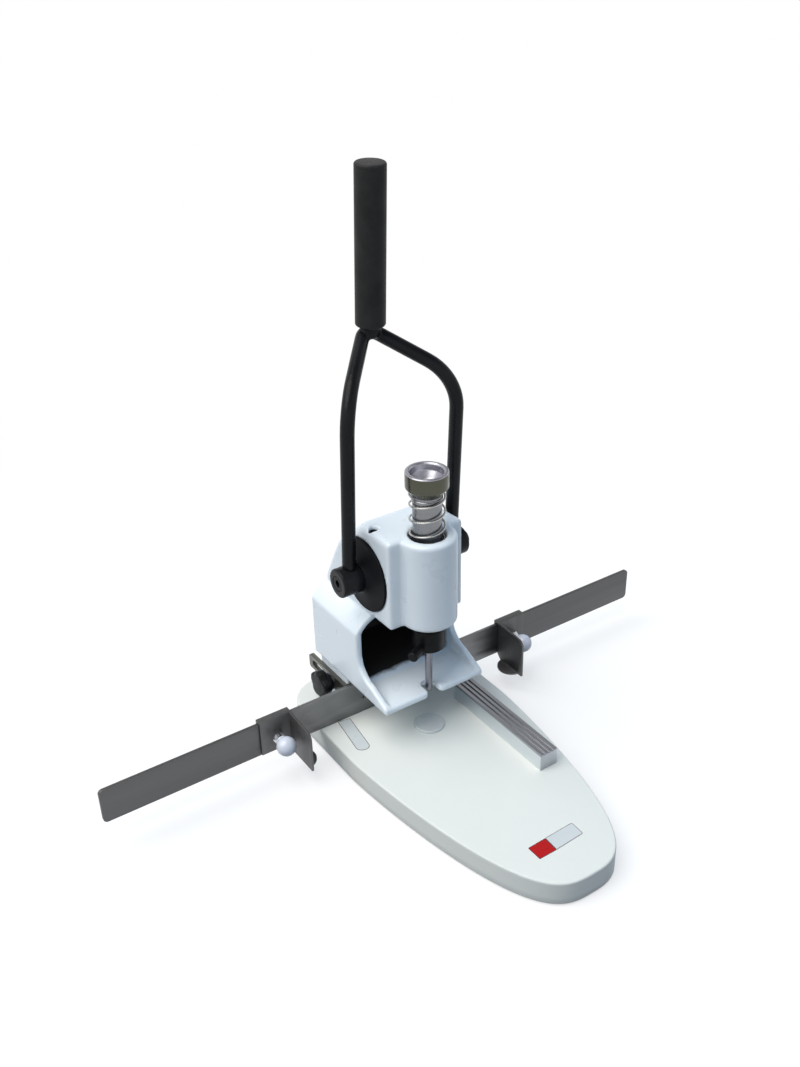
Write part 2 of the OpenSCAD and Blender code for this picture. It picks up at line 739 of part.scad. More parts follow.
module left_hub() {
    color(black_paint) difference() {
        mirror([1, 0, 0]) hub();
        at_hub() rotate([0, -90, 0]) translate([0, 0, hub_face - hub_head_h]) cylinder(r = hub_head_r + 0.2, h = 10);
    }
}

module right_hub() color(black_paint) hub();

module hub_screw(side, head_at) {
    color(black_paint) at_hub() rotate([0, 90 * side, 0]) difference() {
        union() {
            translate([0, 0, head_at]) cylinder(r = hub_head_r, h = hub_head_h - 0.2);
            translate([0, 0, shaft_end - 14]) cylinder(r = hub_screw_r, h = head_at - shaft_end + 15);
        }
        translate([0, 0, head_at + 1.4]) socket_cut(3.6, 4);
    }
}
module left_hub_screw() hub_screw(-1, hub_face - hub_head_h);
module right_hub_screw() hub_screw(1, hub_face);

// A bent rod: its middle line runs from corner to corner and rounds off each inner one with an arc.
// Rings of points stand square to that line, and two triangles join each pair of neighbours.
function unit(v) = v / norm(v);
function bend(a, p, b, r) = let (d1 = unit(p - a), d2 = unit(b - p), turn = acos(d1 * d2),
                                 side = unit(d2 - (d1 * d2) * d1), start = p - r * tan(turn / 2) * d1)
    [for (i = [0:bend_steps]) let (t = turn * i / bend_steps)
        [start + r * ((1 - cos(t)) * side + sin(t) * d1), cos(t) * d1 + sin(t) * side]];
function ring(q, r) = let (u = unit(cross(q[1], rod_twist)), v = cross(u, q[1]))
    [for (k = [0:rod_sides - 1]) let (g = 360 * k / rod_sides) q[0] + r * (cos(g) * u + sin(g) * v)];

module bent_rod(corners, bends, r) {
    end = len(corners) - 1;
    line = concat([[corners[0], unit(corners[1] - corners[0])]],
                  [for (i = [1:end - 1], q = bend(corners[i - 1], corners[i], corners[i + 1], bends[i - 1])) q],
                  [[corners[end], unit(corners[end] - corners[end - 1])]]);
    points = [for (q = line, v = ring(q, r)) v];
    walls = [for (i = [0:len(line) - 2], k = [0:rod_sides - 1])
        let (m = i * rod_sides + k, n = i * rod_sides + (k + 1) % rod_sides)
        each [[m, m + rod_sides, n + rod_sides], [m, n + rod_sides, n]]];
    first = [for (k = [0:rod_sides - 1]) k];
    last = [for (k = [rod_sides - 1:-1:0]) (len(line) - 1) * rod_sides + k];
    polyhedron(points, concat(walls, [first], [last]), convexity = 6);
}

// The yoke: one rod bent to a wishbone, its two ends coped onto the hubs
function mirrored(v) = [-v.x, v.y, v.z];
module yoke() {
    color(black_paint) difference() {
        leaned() bent_rod([[-arm_x, 0, 0], mirrored(side_corner), top_corner, side_corner, [arm_x, 0, 0]],
                          [bend_r, yoke_r, bend_r], arm_r);
        at_hub() turned_x() translate([0, 0, -arm_x - 2 * arm_r]) cylinder(r = hub_r, h = 2 * arm_x + 4 * arm_r);
    }
}

// The core that carries the grip: its round lower end is saddled onto the yoke's top bend and welded there
module grip_core() {
    color(black_paint) leaned() difference() {
        translate([0, grip_axis, yoke_apex.z]) rotate_extrude()
            polygon(concat([[0, -core_foot]],
                           arc(core_r - core_foot_r, core_foot_r - core_foot, core_foot_r, -90, 0, 6),
                           [[core_r, grip_high - yoke_apex.z], [0, grip_high - yoke_apex.z]]));
        translate(yoke_apex - yoke_r * yoke_lean) rotate([atan2(yoke_lean.z, yoke_lean.y), 0, 0])
            rotate_extrude() translate([yoke_r, 0]) circle(r = arm_r);
    }
}

module hand_grip() {
    color(black_paint) leaned() translate([0, grip_axis, grip_low]) difference() {
        rotate_extrude() polygon([[0, 0], [grip_r - grip_edge, 0], [grip_r, grip_edge],
                                  [grip_r, grip_len - cap_h], [0, grip_len - cap_h]]);
        translate([0, 0, -1]) cylinder(r = core_r, h = grip_len + 2);
    }
}

module grip_cap() {
    color(black_paint) leaned() translate([0, grip_axis, grip_high]) rotate_extrude()
        polygon([[0, 0], [grip_r, 0], [grip_r, cap_h - 2 * grip_edge], [grip_r - 2 * grip_edge, cap_h], [0, cap_h]]);
}

function rack_gap_width(d) = tooth_pitch / 2 + backlash + 2 * d * tan(pressure);
module rack_gap(k) {
    z = hub_z + (k + 0.5) * tooth_pitch;
    deep = -1.25 * gear_module;
    high = gear_module + 1.5;
    along_x(-spindle_r - 1, spindle_r + 1) polygon([
        [rack_pitch_y + deep, z - rack_gap_width(deep) / 2], [rack_pitch_y + high, z - rack_gap_width(high) / 2],
        [rack_pitch_y + high, z + rack_gap_width(high) / 2], [rack_pitch_y + deep, z + rack_gap_width(deep) / 2]]);
}

module spindle() {
    color(steel) difference() {
        translate([0, 0, chuck_top - chuck_socket]) cylinder(r = spindle_r, h = spindle_top - chuck_top + chuck_socket);
        translate([0, 0, 0]) cylinder(r = waste_r, h = cup_top + 10);
        for (k = [rack_first:rack_last]) rack_gap(k);
        translate([-spindle_r, rack_pitch_y + gear_module, hub_z + rack_first * tooth_pitch])
            cube([2 * spindle_r, 5, (rack_last - rack_first + 1) * tooth_pitch]);
    }
}

module spindle_cup() {
    color(steel) rotate_extrude() polygon([
        [spindle_r, cup_top - cup_neck], [cup_neck_r, cup_top - cup_neck], [cup_neck_r, cup_groove - 0.9],
        [cup_neck_r - 0.5, cup_groove - 0.4], [cup_neck_r - 0.5, cup_groove + 0.4], [cup_neck_r, cup_groove + 0.9],
        [cup_neck_r, cup_top - cup_taper], [cup_r, cup_top - cup_belt], [cup_r, cup_top - 1],
        [cup_r - 1, cup_top], [cup_r - 2.8, cup_top], [cup_r - 4.1, cup_top - 1.3], [cup_r - 5, cup_top - 6],
        [waste_r + 4, cup_top - 11.5], [waste_r + 0.2, cup_top - 13.6], [waste_r + 0.2, spindle_top],
        [spindle_r, spindle_top]]);
}

module at_punch_screw() translate([0, 0, chuck_low + punch_screw_up]) rotate([0, 90, punch_screw_turn]) children();

module chuck() {
    color(black_paint) difference() {
        rotate_extrude() polygon([
            [shank_r + running, chuck_low], [chuck_r - 1, chuck_low], [chuck_r, chuck_low + 1],
            [chuck_r, chuck_top - 8], [chuck_r - 0.6, chuck_top - 7], [chuck_r - 0.6, chuck_top],
            [spindle_r, chuck_top], [spindle_r, chuck_top - chuck_socket],
            [shank_r - 0.8, chuck_top - chuck_socket], [shank_r - 0.8, chuck_low + shank_len],
            [shank_r + running, chuck_low + shank_len]]);
        at_punch_screw() cylinder(r = punch_screw_r, h = 2 * chuck_r);
    }
}

module punch() {
    color(steel) rotate_extrude() polygon([
        [punch_bore, punch_tip], [punch_r, punch_tip + 2.4], [punch_r, chuck_low - 2.5], [shank_r - 0.6, chuck_low - 1],
        [shank_r, chuck_low - 0.4], [shank_r, chuck_low + shank_len - 0.5], [shank_r - 0.5, chuck_low + shank_len],
        [punch_bore + 1, chuck_low + shank_len], [punch_bore + 1, chuck_low], [punch_bore + 0.3, chuck_low - 4],
        [punch_bore + 0.3, punch_tip + 8], [punch_bore, punch_tip + 6]]);
}

// A thumb screw that pinches the punch's shank
module punch_screw() {
    out = chuck_r + punch_screw_out;
    color(black_paint) at_punch_screw() rotate_extrude() polygon([
        [0, shank_r + running], [punch_screw_r, shank_r + running], [punch_screw_r, chuck_r],
        [punch_screw_neck, chuck_r], [punch_screw_neck, chuck_r + neck_len], [punch_screw_head, chuck_r + neck_len],
        [punch_screw_head, out - neck_edge], [punch_screw_head - neck_edge, out], [0, out]]);
}

module back_stop_bar() {
    color(dark_steel) difference() {
        along_y(bar_y, bar_back) polygon(round_rect(-bar_half, bar_half, bar_low, bar_high, bar_corner));
        for (sx = [-1, 1], z = [tab_low + 4.5, tab_high - 4.5])
            translate([sx * stop_screw_x, bar_y - 1, z]) rotate([-90, 0, 0]) cylinder(r = stop_screw_r + 0.1, h = 10);
        for (sx = [-1, 1], z = [tab_low + 4.5, tab_high - 4.5])
            translate([sx * stop_screw_x, bar_y - 0.01, z]) rotate([-90, 0, 0])
                cylinder(r1 = 3.8, r2 = stop_screw_r + 0.1, h = 1.8);
    }
}

// Slide bar on the right: a flat bar with a long slot, and a tab behind the back stop bar
module slide_bar() {
    difference() {
        union() {
            along_x(slide_in, slide_out) polygon(concat(
                [[bar_back, slide_z - slide_h / 2]],
                arc(slide_rear - 3, slide_z - slide_h / 2 + 3, 3, -90, 0, 5),
                arc(slide_rear - 3, slide_z + slide_h / 2 - 3, 3, 0, 90, 5),
                [[bar_back, slide_z + slide_h / 2]]));
            translate([tab_in, bar_back, tab_low]) cube([slide_out - tab_in, tab_t, tab_high - tab_low]);
        }
        translate([slide_in - 1, knob_y - stop_back - 1, slide_z - slot_r])
            cube([slide_t + 2, stop_back + stop_forward + 2, 2 * slot_r]);
        for (y = [knob_y - stop_back - 1, knob_y + stop_forward + 1])
            translate([slide_in - 1, y, slide_z]) turned_x() cylinder(r = slot_r, h = slide_t + 2);
        for (z = [tab_low + 4.5, tab_high - 4.5])
            translate([stop_screw_x, bar_y, z]) rotate([-90, 0, 0]) cylinder(r = stop_screw_r, h = 2 * (bar_t + tab_t));
    }
}
module right_slide_bar() color(zinc) slide_bar();
module left_slide_bar() color(zinc) mirror([1, 0, 0]) slide_bar();

module back_stop_screws() {
    color(steel) for (sx = [-1, 1], z = [tab_low + 4.5, tab_high - 4.5])
        translate([sx * stop_screw_x, bar_y, z]) rotate([-90, 0, 0]) difference() {
            union() {
                translate([0, 0, 0.1]) cylinder(r1 = 3.6, r2 = stop_screw_r, h = 1.7);
                translate([0, 0, 1]) cylinder(r = stop_screw_r, h = bar_t + tab_t - 1);
            }
            for (a = [0, 90]) rotate(a) translate([-2, -0.4, -1]) cube([4, 0.8, 1.8]);
        }
}

module at_knob() translate([0, knob_y, slide_z]) rotate([0, -90, 0]) children();

module clamp_stud() {
    color(steel) at_knob() translate([0, 0, column_half - stud_depth + 2])
        cylinder(r = stud_r, h = stud_depth - 2 + knob_in - column_half + knob_t - 4);
}

module clamp_washer() {
    color(steel) at_knob() translate([0, 0, slide_out + gap]) difference() {
        cylinder(r = washer_r, h = washer_t);
        translate([0, 0, -1]) cylinder(r = stud_r, h = washer_t + 2);
    }
}

module clamp_knob() {
    color(black_paint) at_knob() translate([0, 0, knob_in - gap]) difference() {
        union() {
            cylinder(r = 8, h = 4);
            translate([0, 0, 3]) cylinder(r = knob_r - 4.5, h = knob_t - 3);
            for (k = [0:knob_lobes - 1]) rotate(k * 360 / knob_lobes)
                translate([knob_r - 5, 0, 3]) cylinder(r = 5, h = knob_t - 4);
        }
        translate([0, 0, -1]) cylinder(r = stud_r, h = knob_t - 2.5);
    }
}

// Right side stop; its paper face looks towards the punch
module side_stop(face_x) {
    difference() {
        union() {
            translate([face_x, plate_front, bar_low + 1]) cube([clamp_w, sheet_t, hook_low - bar_low - 1 + sheet_t]);
            translate([face_x, plate_front, hook_low]) cube([clamp_w, hook_back + sheet_t - plate_front, sheet_t]);
            translate([face_x, hook_back, hook_low - 10]) cube([clamp_w, sheet_t, 10 + sheet_t]);
            along_x(face_x, face_x + sheet_t) polygon(concat(
                [[plate_front + sheet_t, hook_low + sheet_t]],
                arc(stop_front + corner_r, hook_low - corner_r, corner_r, 100, 180, 6),
                [[stop_front, stop_low], [tab_rear, stop_low], [plate_front + sheet_t, bar_low + 1]]));
            translate([face_x + sheet_t, tab_front + tab_r, stop_low]) difference() {
                cylinder(r = tab_r, h = sheet_t);
                translate([0, -tab_r - 1, -1]) cube([tab_r + 1, 2 * tab_r + 2, sheet_t + 2]);
            }
        }
        translate([face_x + clamp_in, plate_front - 1, clamp_z]) rotate([-90, 0, 0])
            cylinder(r = stud_r + running, h = sheet_t + 2);
    }
}
module right_side_stop() color(dark_steel) side_stop(right_stop_x);
module left_side_stop() color(dark_steel) mirror([1, 0, 0]) side_stop(left_stop_x);

module at_clamp(x) translate([x, plate_front, clamp_z]) rotate([90, 0, 0]) children();

module stop_nut(x) {
    color(steel) at_clamp(x) difference() {
        cylinder(r = nut_r, h = nut_t, $fn = 6);
        translate([0, 0, -1]) cylinder(r = stud_r + running, h = nut_t + 2);
    }
}
module left_stop_nut() stop_nut(-left_stop_x - clamp_in);
module right_stop_nut() stop_nut(right_stop_x + clamp_in);

module clamp_screw(x) {
    color(steel) at_clamp(x) translate([0, 0, -sheet_t - gap + 0.1])
        cylinder(r = stud_r, h = plate_front - ball_y + sheet_t + gap + 3);
}
module left_clamp_screw() clamp_screw(-left_stop_x - clamp_in);
module right_clamp_screw() clamp_screw(right_stop_x + clamp_in);

module ball_knob(x) {
    color(white_plastic) at_clamp(x) translate([0, 0, plate_front - ball_y]) difference() {
        union() {
            sphere(r = ball_r);
            translate([0, 0, -ball_r + 0.3]) cylinder(r = 5, h = 5);
        }
        translate([0, 0, -ball_r - 1]) cylinder(r = stud_r, h = ball_r + 4.2);
    }
}
module left_ball_knob() ball_knob(-left_stop_x - clamp_in);
module right_ball_knob() ball_knob(right_stop_x + clamp_in);

base_plate();
rubber_feet();
foot_screws();
cutting_pad();
side_fence();
fence_screws();
frame_casting();
frame_bolts();
upper_guide_bush();
lower_guide_bush();
left_bearing_cap();
right_bearing_cap();
left_shaft_bush();
right_shaft_bush();
cap_lock_screws();
return_spring();
right_guide_screw();
cross_shaft();
pinion();
shaft_keys();
left_hub();
right_hub();
left_hub_screw();
right_hub_screw();
yoke();
grip_core();
hand_grip();
grip_cap();
spindle();
spindle_cup();
chuck();
punch();
punch_screw();
back_stop_bar();
left_slide_bar();
right_slide_bar();
back_stop_screws();
clamp_knob();
clamp_stud();
clamp_washer();
left_side_stop();
left_stop_nut();
right_side_stop();
right_stop_nut();
left_ball_knob();
left_clamp_screw();
right_ball_knob();
right_clamp_screw();
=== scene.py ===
"""Single hole punch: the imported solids, dressed with smooth surfaces and painted, ground and moulded finishes."""
import math

import bmesh
import bpy
import numpy as np
from bpy.props import FloatProperty, FloatVectorProperty, IntProperty, PointerProperty
from mathutils import Matrix, Vector


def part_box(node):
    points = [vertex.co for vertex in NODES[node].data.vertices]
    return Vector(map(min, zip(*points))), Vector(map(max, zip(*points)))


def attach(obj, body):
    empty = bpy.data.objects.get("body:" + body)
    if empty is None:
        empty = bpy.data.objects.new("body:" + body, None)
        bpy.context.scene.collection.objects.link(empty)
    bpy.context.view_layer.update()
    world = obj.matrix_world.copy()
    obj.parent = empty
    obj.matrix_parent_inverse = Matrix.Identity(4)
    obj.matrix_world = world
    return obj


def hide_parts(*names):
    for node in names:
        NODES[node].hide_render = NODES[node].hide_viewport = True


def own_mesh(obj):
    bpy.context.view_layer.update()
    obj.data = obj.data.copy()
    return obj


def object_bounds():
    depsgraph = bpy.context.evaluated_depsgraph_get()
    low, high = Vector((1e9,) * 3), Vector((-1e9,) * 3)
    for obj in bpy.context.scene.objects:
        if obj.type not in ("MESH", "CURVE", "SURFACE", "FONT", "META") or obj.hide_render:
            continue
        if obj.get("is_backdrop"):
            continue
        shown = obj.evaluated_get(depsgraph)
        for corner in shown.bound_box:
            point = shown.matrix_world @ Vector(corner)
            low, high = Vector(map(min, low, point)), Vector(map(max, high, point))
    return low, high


bl_info = {
    "name": "Single hole punch",
    "version": (1, 0, 0),
    "blender": (4, 5, 0),
    "location": "3D View > Sidebar > Punch",
    "description": "Builds the visible pieces of a bench hole punch around its solids",
    "category": "Object",
}

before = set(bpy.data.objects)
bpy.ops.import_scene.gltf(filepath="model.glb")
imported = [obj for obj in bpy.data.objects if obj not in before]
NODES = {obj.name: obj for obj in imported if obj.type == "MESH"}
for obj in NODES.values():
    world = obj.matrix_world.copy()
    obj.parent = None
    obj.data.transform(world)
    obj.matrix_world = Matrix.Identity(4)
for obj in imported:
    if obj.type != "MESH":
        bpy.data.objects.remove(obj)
CAD_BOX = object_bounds()
MM = 0.001
SHARP = 38.0  # degrees between two faces past which their edge is drawn crisp


# Sizes and colours

def length(name, description, default):
    """A size in metres."""
    return FloatProperty(name=name, description=description, default=default, unit="LENGTH", precision=5)


def paint(name, description, default):
    """A linear colour."""
    return FloatVectorProperty(name=name, description=description, default=default, subtype="COLOR",
                               size=3, min=0.0, max=1.0)


class PunchSizes(bpy.types.PropertyGroup):
    """Sizes of the surfaces that stand for CAD nodes"""
    nose_reach: length("Nose reach", "Base in front of the punch axis", 0.219)
    base_half: length("Base half width", "Half of the base width at the punch axis", 0.084)
    base_rear: length("Base rear", "Base behind the punch axis", 0.120)
    base_top: length("Base top", "Height of the working surface", 0.024)
    base_edge: length("Base edge", "Rounding of the base's upper edge", 0.00175)
    base_wall: length("Base wall", "Side wall of the base", 0.008)
    rear_corner: length("Rear corner", "Radius of the rear corners", 0.034)
    hub_height: length("Hub height", "Height of the cross shaft", 0.1778)
    hub_depth: length("Hub depth", "Distance of the cross shaft behind the punch axis", 0.040)
    grip_radius: length("Grip radius", "Radius of the hand grip", 0.0125)
    grip_low: length("Grip low end", "Lower end of the grip above the shaft", 0.2008)
    grip_high: length("Grip high end", "Upper end of the grip above the shaft", 0.3288)
    ball_radius: length("Ball radius", "Radius of the ball knobs", 0.0088)
    star_radius: length("Star radius", "Radius of the star knob", 0.015)
    star_lobes: IntProperty(name="Star lobes", description="Lobes of the star knob", default=5, min=3, max=8)
    cast_voxel: length("Casting grain", "Voxel that rounds the casting's edges", 0.00135)
    yoke_voxel: length("Yoke grain", "Voxel that melts the weld of the yoke", 0.0009)


class PunchColours(bpy.types.PropertyGroup):
    """Colours of the finishes"""
    enamel: paint("Enamel", "Gloss enamel of the casting", (0.79, 0.85, 0.89))
    # Enamel of the housing's hollow, painted a bluer shade.
    enamel_shade: paint("Enamel inside", "Enamel of the housing's hollow", (0.77, 0.88, 0.98))
    # Black painted shade deep inside the housing.
    cavity_shade: paint("Cavity", "Bare oily iron inside the housing", (0.006, 0.006, 0.007))
    base: paint("Base paint", "Paint of the base", (0.71, 0.725, 0.685))
    black: paint("Black paint", "Satin black of the lever", (0.0092, 0.0097, 0.011))
    oxide: paint("Black oxide", "Blackened steel of the chuck and of small screws", (0.007, 0.007, 0.008))
    steel: paint("Steel", "Ground steel", (0.22, 0.225, 0.235))
    punch: paint("Punch", "Polished steel of the punch", (0.22, 0.22, 0.25))
    spring: paint("Spring steel", "Return spring", (0.42, 0.42, 0.41))
    cup: paint("Cup", "Darker steel of the spindle's cup", (0.09, 0.09, 0.07))
    # Partly clean steel, partly a painted highlight on the rim and a painted cool reflection in the dish.
    dish_sheen: paint("Dish", "Clean steel of the cup's rim and inside", (0.40, 0.40, 0.45))
    strip: paint("Dark steel", "Brushed steel of the back stop", (0.118, 0.118, 0.12))
    zinc: paint("Zinc", "Yellowish plating of the slide bars", (0.155, 0.155, 0.135))
    bright: paint("Bright zinc", "Plating of the side stops' nuts and screws", (0.62, 0.63, 0.65))
    alloy: paint("Aluminium", "Bright sides of the fence bar", (0.71, 0.75, 0.79))
    dull_alloy: paint("Dull aluminium", "Grooved top and sawn end of the fence bar", (0.34, 0.35, 0.38))
    bronze: paint("Bronze", "Bushes", (0.45, 0.29, 0.13))
    white: paint("White plastic", "Ball knobs", (0.64, 0.66, 0.73))
    moulded: paint("Black plastic", "Star knob", (0.008, 0.0085, 0.009))
    rubber: paint("Rubber", "Feet", (0.018, 0.018, 0.019))
    grip: paint("Grip", "Rubber of the hand grip", (0.026, 0.0255, 0.0245))
    nylon: paint("Nylon", "Cutting pad", (0.60, 0.62, 0.61))
    red: paint("Label red", "Coloured end of the label", (0.43, 0.006, 0.007))
    label: paint("Label white", "Blank labels", (0.57, 0.605, 0.61))
    label_rim: paint("Label rim", "Thin border of the labels", (0.10, 0.045, 0.05))
    floor: paint("Floor", "Studio floor where it is seen", (0.99, 0.99, 0.99))
    bounce: paint("Bounce", "Studio floor for the light that bounces off it", (0.11, 0.11, 0.11))


def sizes():
    return bpy.context.scene.punch_sizes


def colours():
    return bpy.context.scene.punch_colours


# Surfaces

def grid_faces(rows, columns, wrap_rows=False, wrap_columns=False):
    """Quads between the neighbours of a rows x columns grid of points, wrapped where asked."""
    i = np.arange(rows if wrap_rows else rows - 1)
    j = np.arange(columns if wrap_columns else columns - 1)
    i, j = np.meshgrid(i, j, indexing="ij")
    i2, j2 = (i + 1) % rows, (j + 1) % columns
    return np.stack([i * columns + j, i * columns + j2, i2 * columns + j2, i2 * columns + j], -1).reshape(-1, 4)


def add_object(name, points, faces, sharp=SHARP):
    """One mesh object at the origin from points (n, 3) and a list of faces; edges over the sharp angle stay crisp."""
    mesh = bpy.data.meshes.new(name)
    mesh.from_pydata(np.asarray(points, float).reshape(-1, 3).tolist(), [], [list(map(int, f)) for f in faces])
    bm = bmesh.new()
    bm.from_mesh(mesh)
    bmesh.ops.remove_doubles(bm, verts=bm.verts, dist=1e-7)
    bmesh.ops.recalc_face_normals(bm, faces=bm.faces)
    bm.to_mesh(mesh)
    bm.free()
    return finish_object(name, mesh, sharp)


def finish_object_shading(mesh, sharp):
    """Smooth faces, and crisp edges over the sharp angle."""
    mesh.polygons.foreach_set("use_smooth", np.ones(len(mesh.polygons), bool))
    mesh.set_sharp_from_angle(angle=math.radians(sharp))


def finish_object(name, mesh, sharp=SHARP):
    """An object of a mesh, shaded smooth but for the edges over the sharp angle."""
    finish_object_shading(mesh, sharp)
    obj = bpy.data.objects.new(name, mesh)
    bpy.context.scene.collection.objects.link(obj)
    return obj


class Shape:
    """Collects several closed surfaces that make one piece."""

    def __init__(self):
        self.points, self.faces, self.count = [], [], 0

    def add(self, points, faces):
        points = np.asarray(points, float).reshape(-1, 3)
        self.points.append(points)
        self.faces += [[int(k) + self.count for k in f] for f in faces]
        self.count += len(points)
        return self

    def grid(self, points, wrap_rows=False, wrap_columns=False):
        """A grid of points; rows that stay open are closed with one flat face at each end."""
        rows, columns = points.shape[:2]
        faces = grid_faces(rows, columns, wrap_rows, wrap_columns).tolist()
        if wrap_columns and not wrap_rows:
            faces += [list(range(columns)), list(range((rows - 1) * columns, rows * columns))]
        return self.add(points, faces)

    def build(self, name, sharp=SHARP):
        return add_object(name, np.concatenate(self.points), self.faces, sharp)


def filleted(corners, radii, steps=5):
    """A polyline with its inner corners rounded: each corner is replaced by points of the arc of the given
    radius that touches both of its sides. A radius of 0 keeps the corner."""
    corners = np.asarray(corners, float)
    out = [corners[0]]
    for k in range(1, len(corners) - 1):
        p, r = corners[k], radii[k]
        a, b = corners[k - 1] - p, corners[k + 1] - p
        la, lb = np.linalg.norm(a), np.linalg.norm(b)
        a, b = a / la, b / lb
        half = 0.5 * math.acos(float(np.clip(a @ b, -1, 1)))
        if r <= 0 or half > 1.55:
            out.append(p)
            continue
        cut = min(r / math.tan(half), 0.49 * la, 0.49 * lb)
        r = cut * math.tan(half)
        centre = p + (a + b) / np.linalg.norm(a + b) * r / math.sin(half)
        t = np.linspace(0, 1, steps + 1)[:, None]
        u, v = p + a * cut - centre, p + b * cut - centre
        w = math.pi - 2 * half
        out += list(centre + (np.sin((1 - t) * w) * u + np.sin(t * w) * v) / math.sin(w))
    out.append(corners[-1])
    return np.array(out)


def revolved(profile, steps=64):
    """A profile of (radius, height) pairs turned about Z: (r cos a, r sin a, h)."""
    profile = np.asarray(profile, float)
    a = np.linspace(0, 2 * np.pi, steps, endpoint=False)
    r, h = profile[:, 0, None], profile[:, 1, None]
    return np.stack([r * np.cos(a), r * np.sin(a), h + 0 * a], -1)


def placed(points, matrix):
    """Points turned and moved by a 4 x 4 matrix."""
    m = np.array(matrix)
    return points @ m[:3, :3].T + m[:3, 3]


def towards(direction, at):
    """The matrix that takes +Z to a direction and the origin to a point."""
    turn = Vector((0, 0, 1)).rotation_difference(Vector(direction)).to_matrix().to_4x4()
    return Matrix.Translation(Vector(at)) @ turn


def tube(path, radius, sides=24):
    """Circles of a radius square to a path. The frames are carried along the path without twist:
    each side vector is the last one less its part along the new direction."""
    path = np.asarray(path, float)
    along = np.gradient(path, axis=0)
    along /= np.linalg.norm(along, axis=1)[:, None]
    side = np.cross(along[0], (0.0, 0.0, 1.0) if abs(along[0][2]) < 0.9 else (0.0, 1.0, 0.0))
    sides_list = []
    for t in along:
        side = side - (side @ t) * t
        side = side / np.linalg.norm(side)
        sides_list.append(side)
    u = np.array(sides_list)
    v = np.cross(along, u)
    a = np.linspace(0, 2 * np.pi, sides, endpoint=False)[None, :, None]
    r = np.broadcast_to(np.asarray(radius, float), (len(path),))[:, None, None]
    return path[:, None, :] + r * (np.cos(a) * u[:, None, :] + np.sin(a) * v[:, None, :])


def turned(name, profile, steps, sharp, matrix=None):
    """An object of a closed profile turned about Z, placed by a matrix where one is given."""
    points = revolved(profile, steps)
    if matrix is not None:
        points = placed(points, matrix)
    return Shape().grid(points, wrap_rows=True, wrap_columns=True).build(name, sharp)


def box_points(lo, hi):
    """The eight corners of a box, in the order that BOX_FACES counts them."""
    x, y, z = zip(lo, hi)
    return np.array([[x[i], y[j], z[k]] for k in (0, 1) for j in (0, 1) for i in (0, 1)], float)


BOX_FACES = [[0, 2, 3, 1], [4, 5, 7, 6], [0, 1, 5, 4], [2, 6, 7, 3], [0, 4, 6, 2], [1, 3, 7, 5]]


def merged_copy(name, *nodes):
    """A new object with the merged meshes of one or more CAD nodes."""
    bm = bmesh.new()
    for node in nodes:
        bm.from_mesh(NODES[node].data)
    bmesh.ops.remove_doubles(bm, verts=bm.verts, dist=1e-6)
    mesh = bpy.data.meshes.new(name)
    bm.to_mesh(mesh)
    bm.free()
    mesh.materials.clear()
    return finish_object(name, mesh)


def softened(node, name, width, segments):
    """A copy of a CAD node, flattened to whole faces, with every edge over 25 degrees bevelled."""
    obj = merged_copy(name, node)
    bm = bmesh.new()
    bm.from_mesh(obj.data)
    bmesh.ops.dissolve_limit(bm, angle_limit=math.radians(1.0), verts=bm.verts, edges=bm.edges)
    bm.to_mesh(obj.data)
    bm.free()
    finish_object_shading(obj.data, SHARP)
    bevel = obj.modifiers.new("Bevel", "BEVEL")
    bevel.width = width
    bevel.segments = segments
    bevel.limit_method = "ANGLE"
    bevel.angle_limit = math.radians(25.0)
    return baked(obj)


def melted(name, voxel, rounds, *nodes):
    """Copies of CAD nodes run into one skin: a voxel remesh joins them, and smoothing rounds every edge."""
    solid = merged_copy(name, *nodes)
    remesh = solid.modifiers.new("Remesh", "REMESH")
    remesh.mode = "VOXEL"
    remesh.voxel_size = voxel
    smooth = solid.modifiers.new("Smooth", "SMOOTH")
    smooth.factor = 0.5
    smooth.iterations = rounds
    return baked(solid, 60)


def baked(obj, sharp=SHARP):
    """The object with its modifiers applied."""
    evaluated = obj.evaluated_get(bpy.context.evaluated_depsgraph_get())
    mesh = bpy.data.meshes.new_from_object(evaluated)
    old = obj.data
    obj.modifiers.clear()
    obj.data = mesh
    mesh.name = obj.name
    bpy.data.meshes.remove(old)
    finish_object_shading(mesh, sharp)
    return obj


def set_piece(obj, body, materials, slot, *nodes):
    """Gives a piece its material or materials and its body, and hides the CAD nodes it stands for. Its slot is not
    used.
    """
    obj.data.materials.clear()
    for material in materials if isinstance(materials, list) else [materials]:
        obj.data.materials.append(material)
    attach(obj, body)
    if nodes:
        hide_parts(*nodes)
    return obj


def face_centres(obj):
    """The middle of each face, as an array of points."""
    centres = np.empty(3 * len(obj.data.polygons))
    obj.data.polygons.foreach_get("center", centres)
    return centres.reshape(-1, 3)


def dress(material, *nodes):
    """Gives CAD nodes that stay as they are one material."""
    for node in nodes:
        data = NODES[node].data
        data.materials.clear()
        data.materials.append(material)


# Finishes

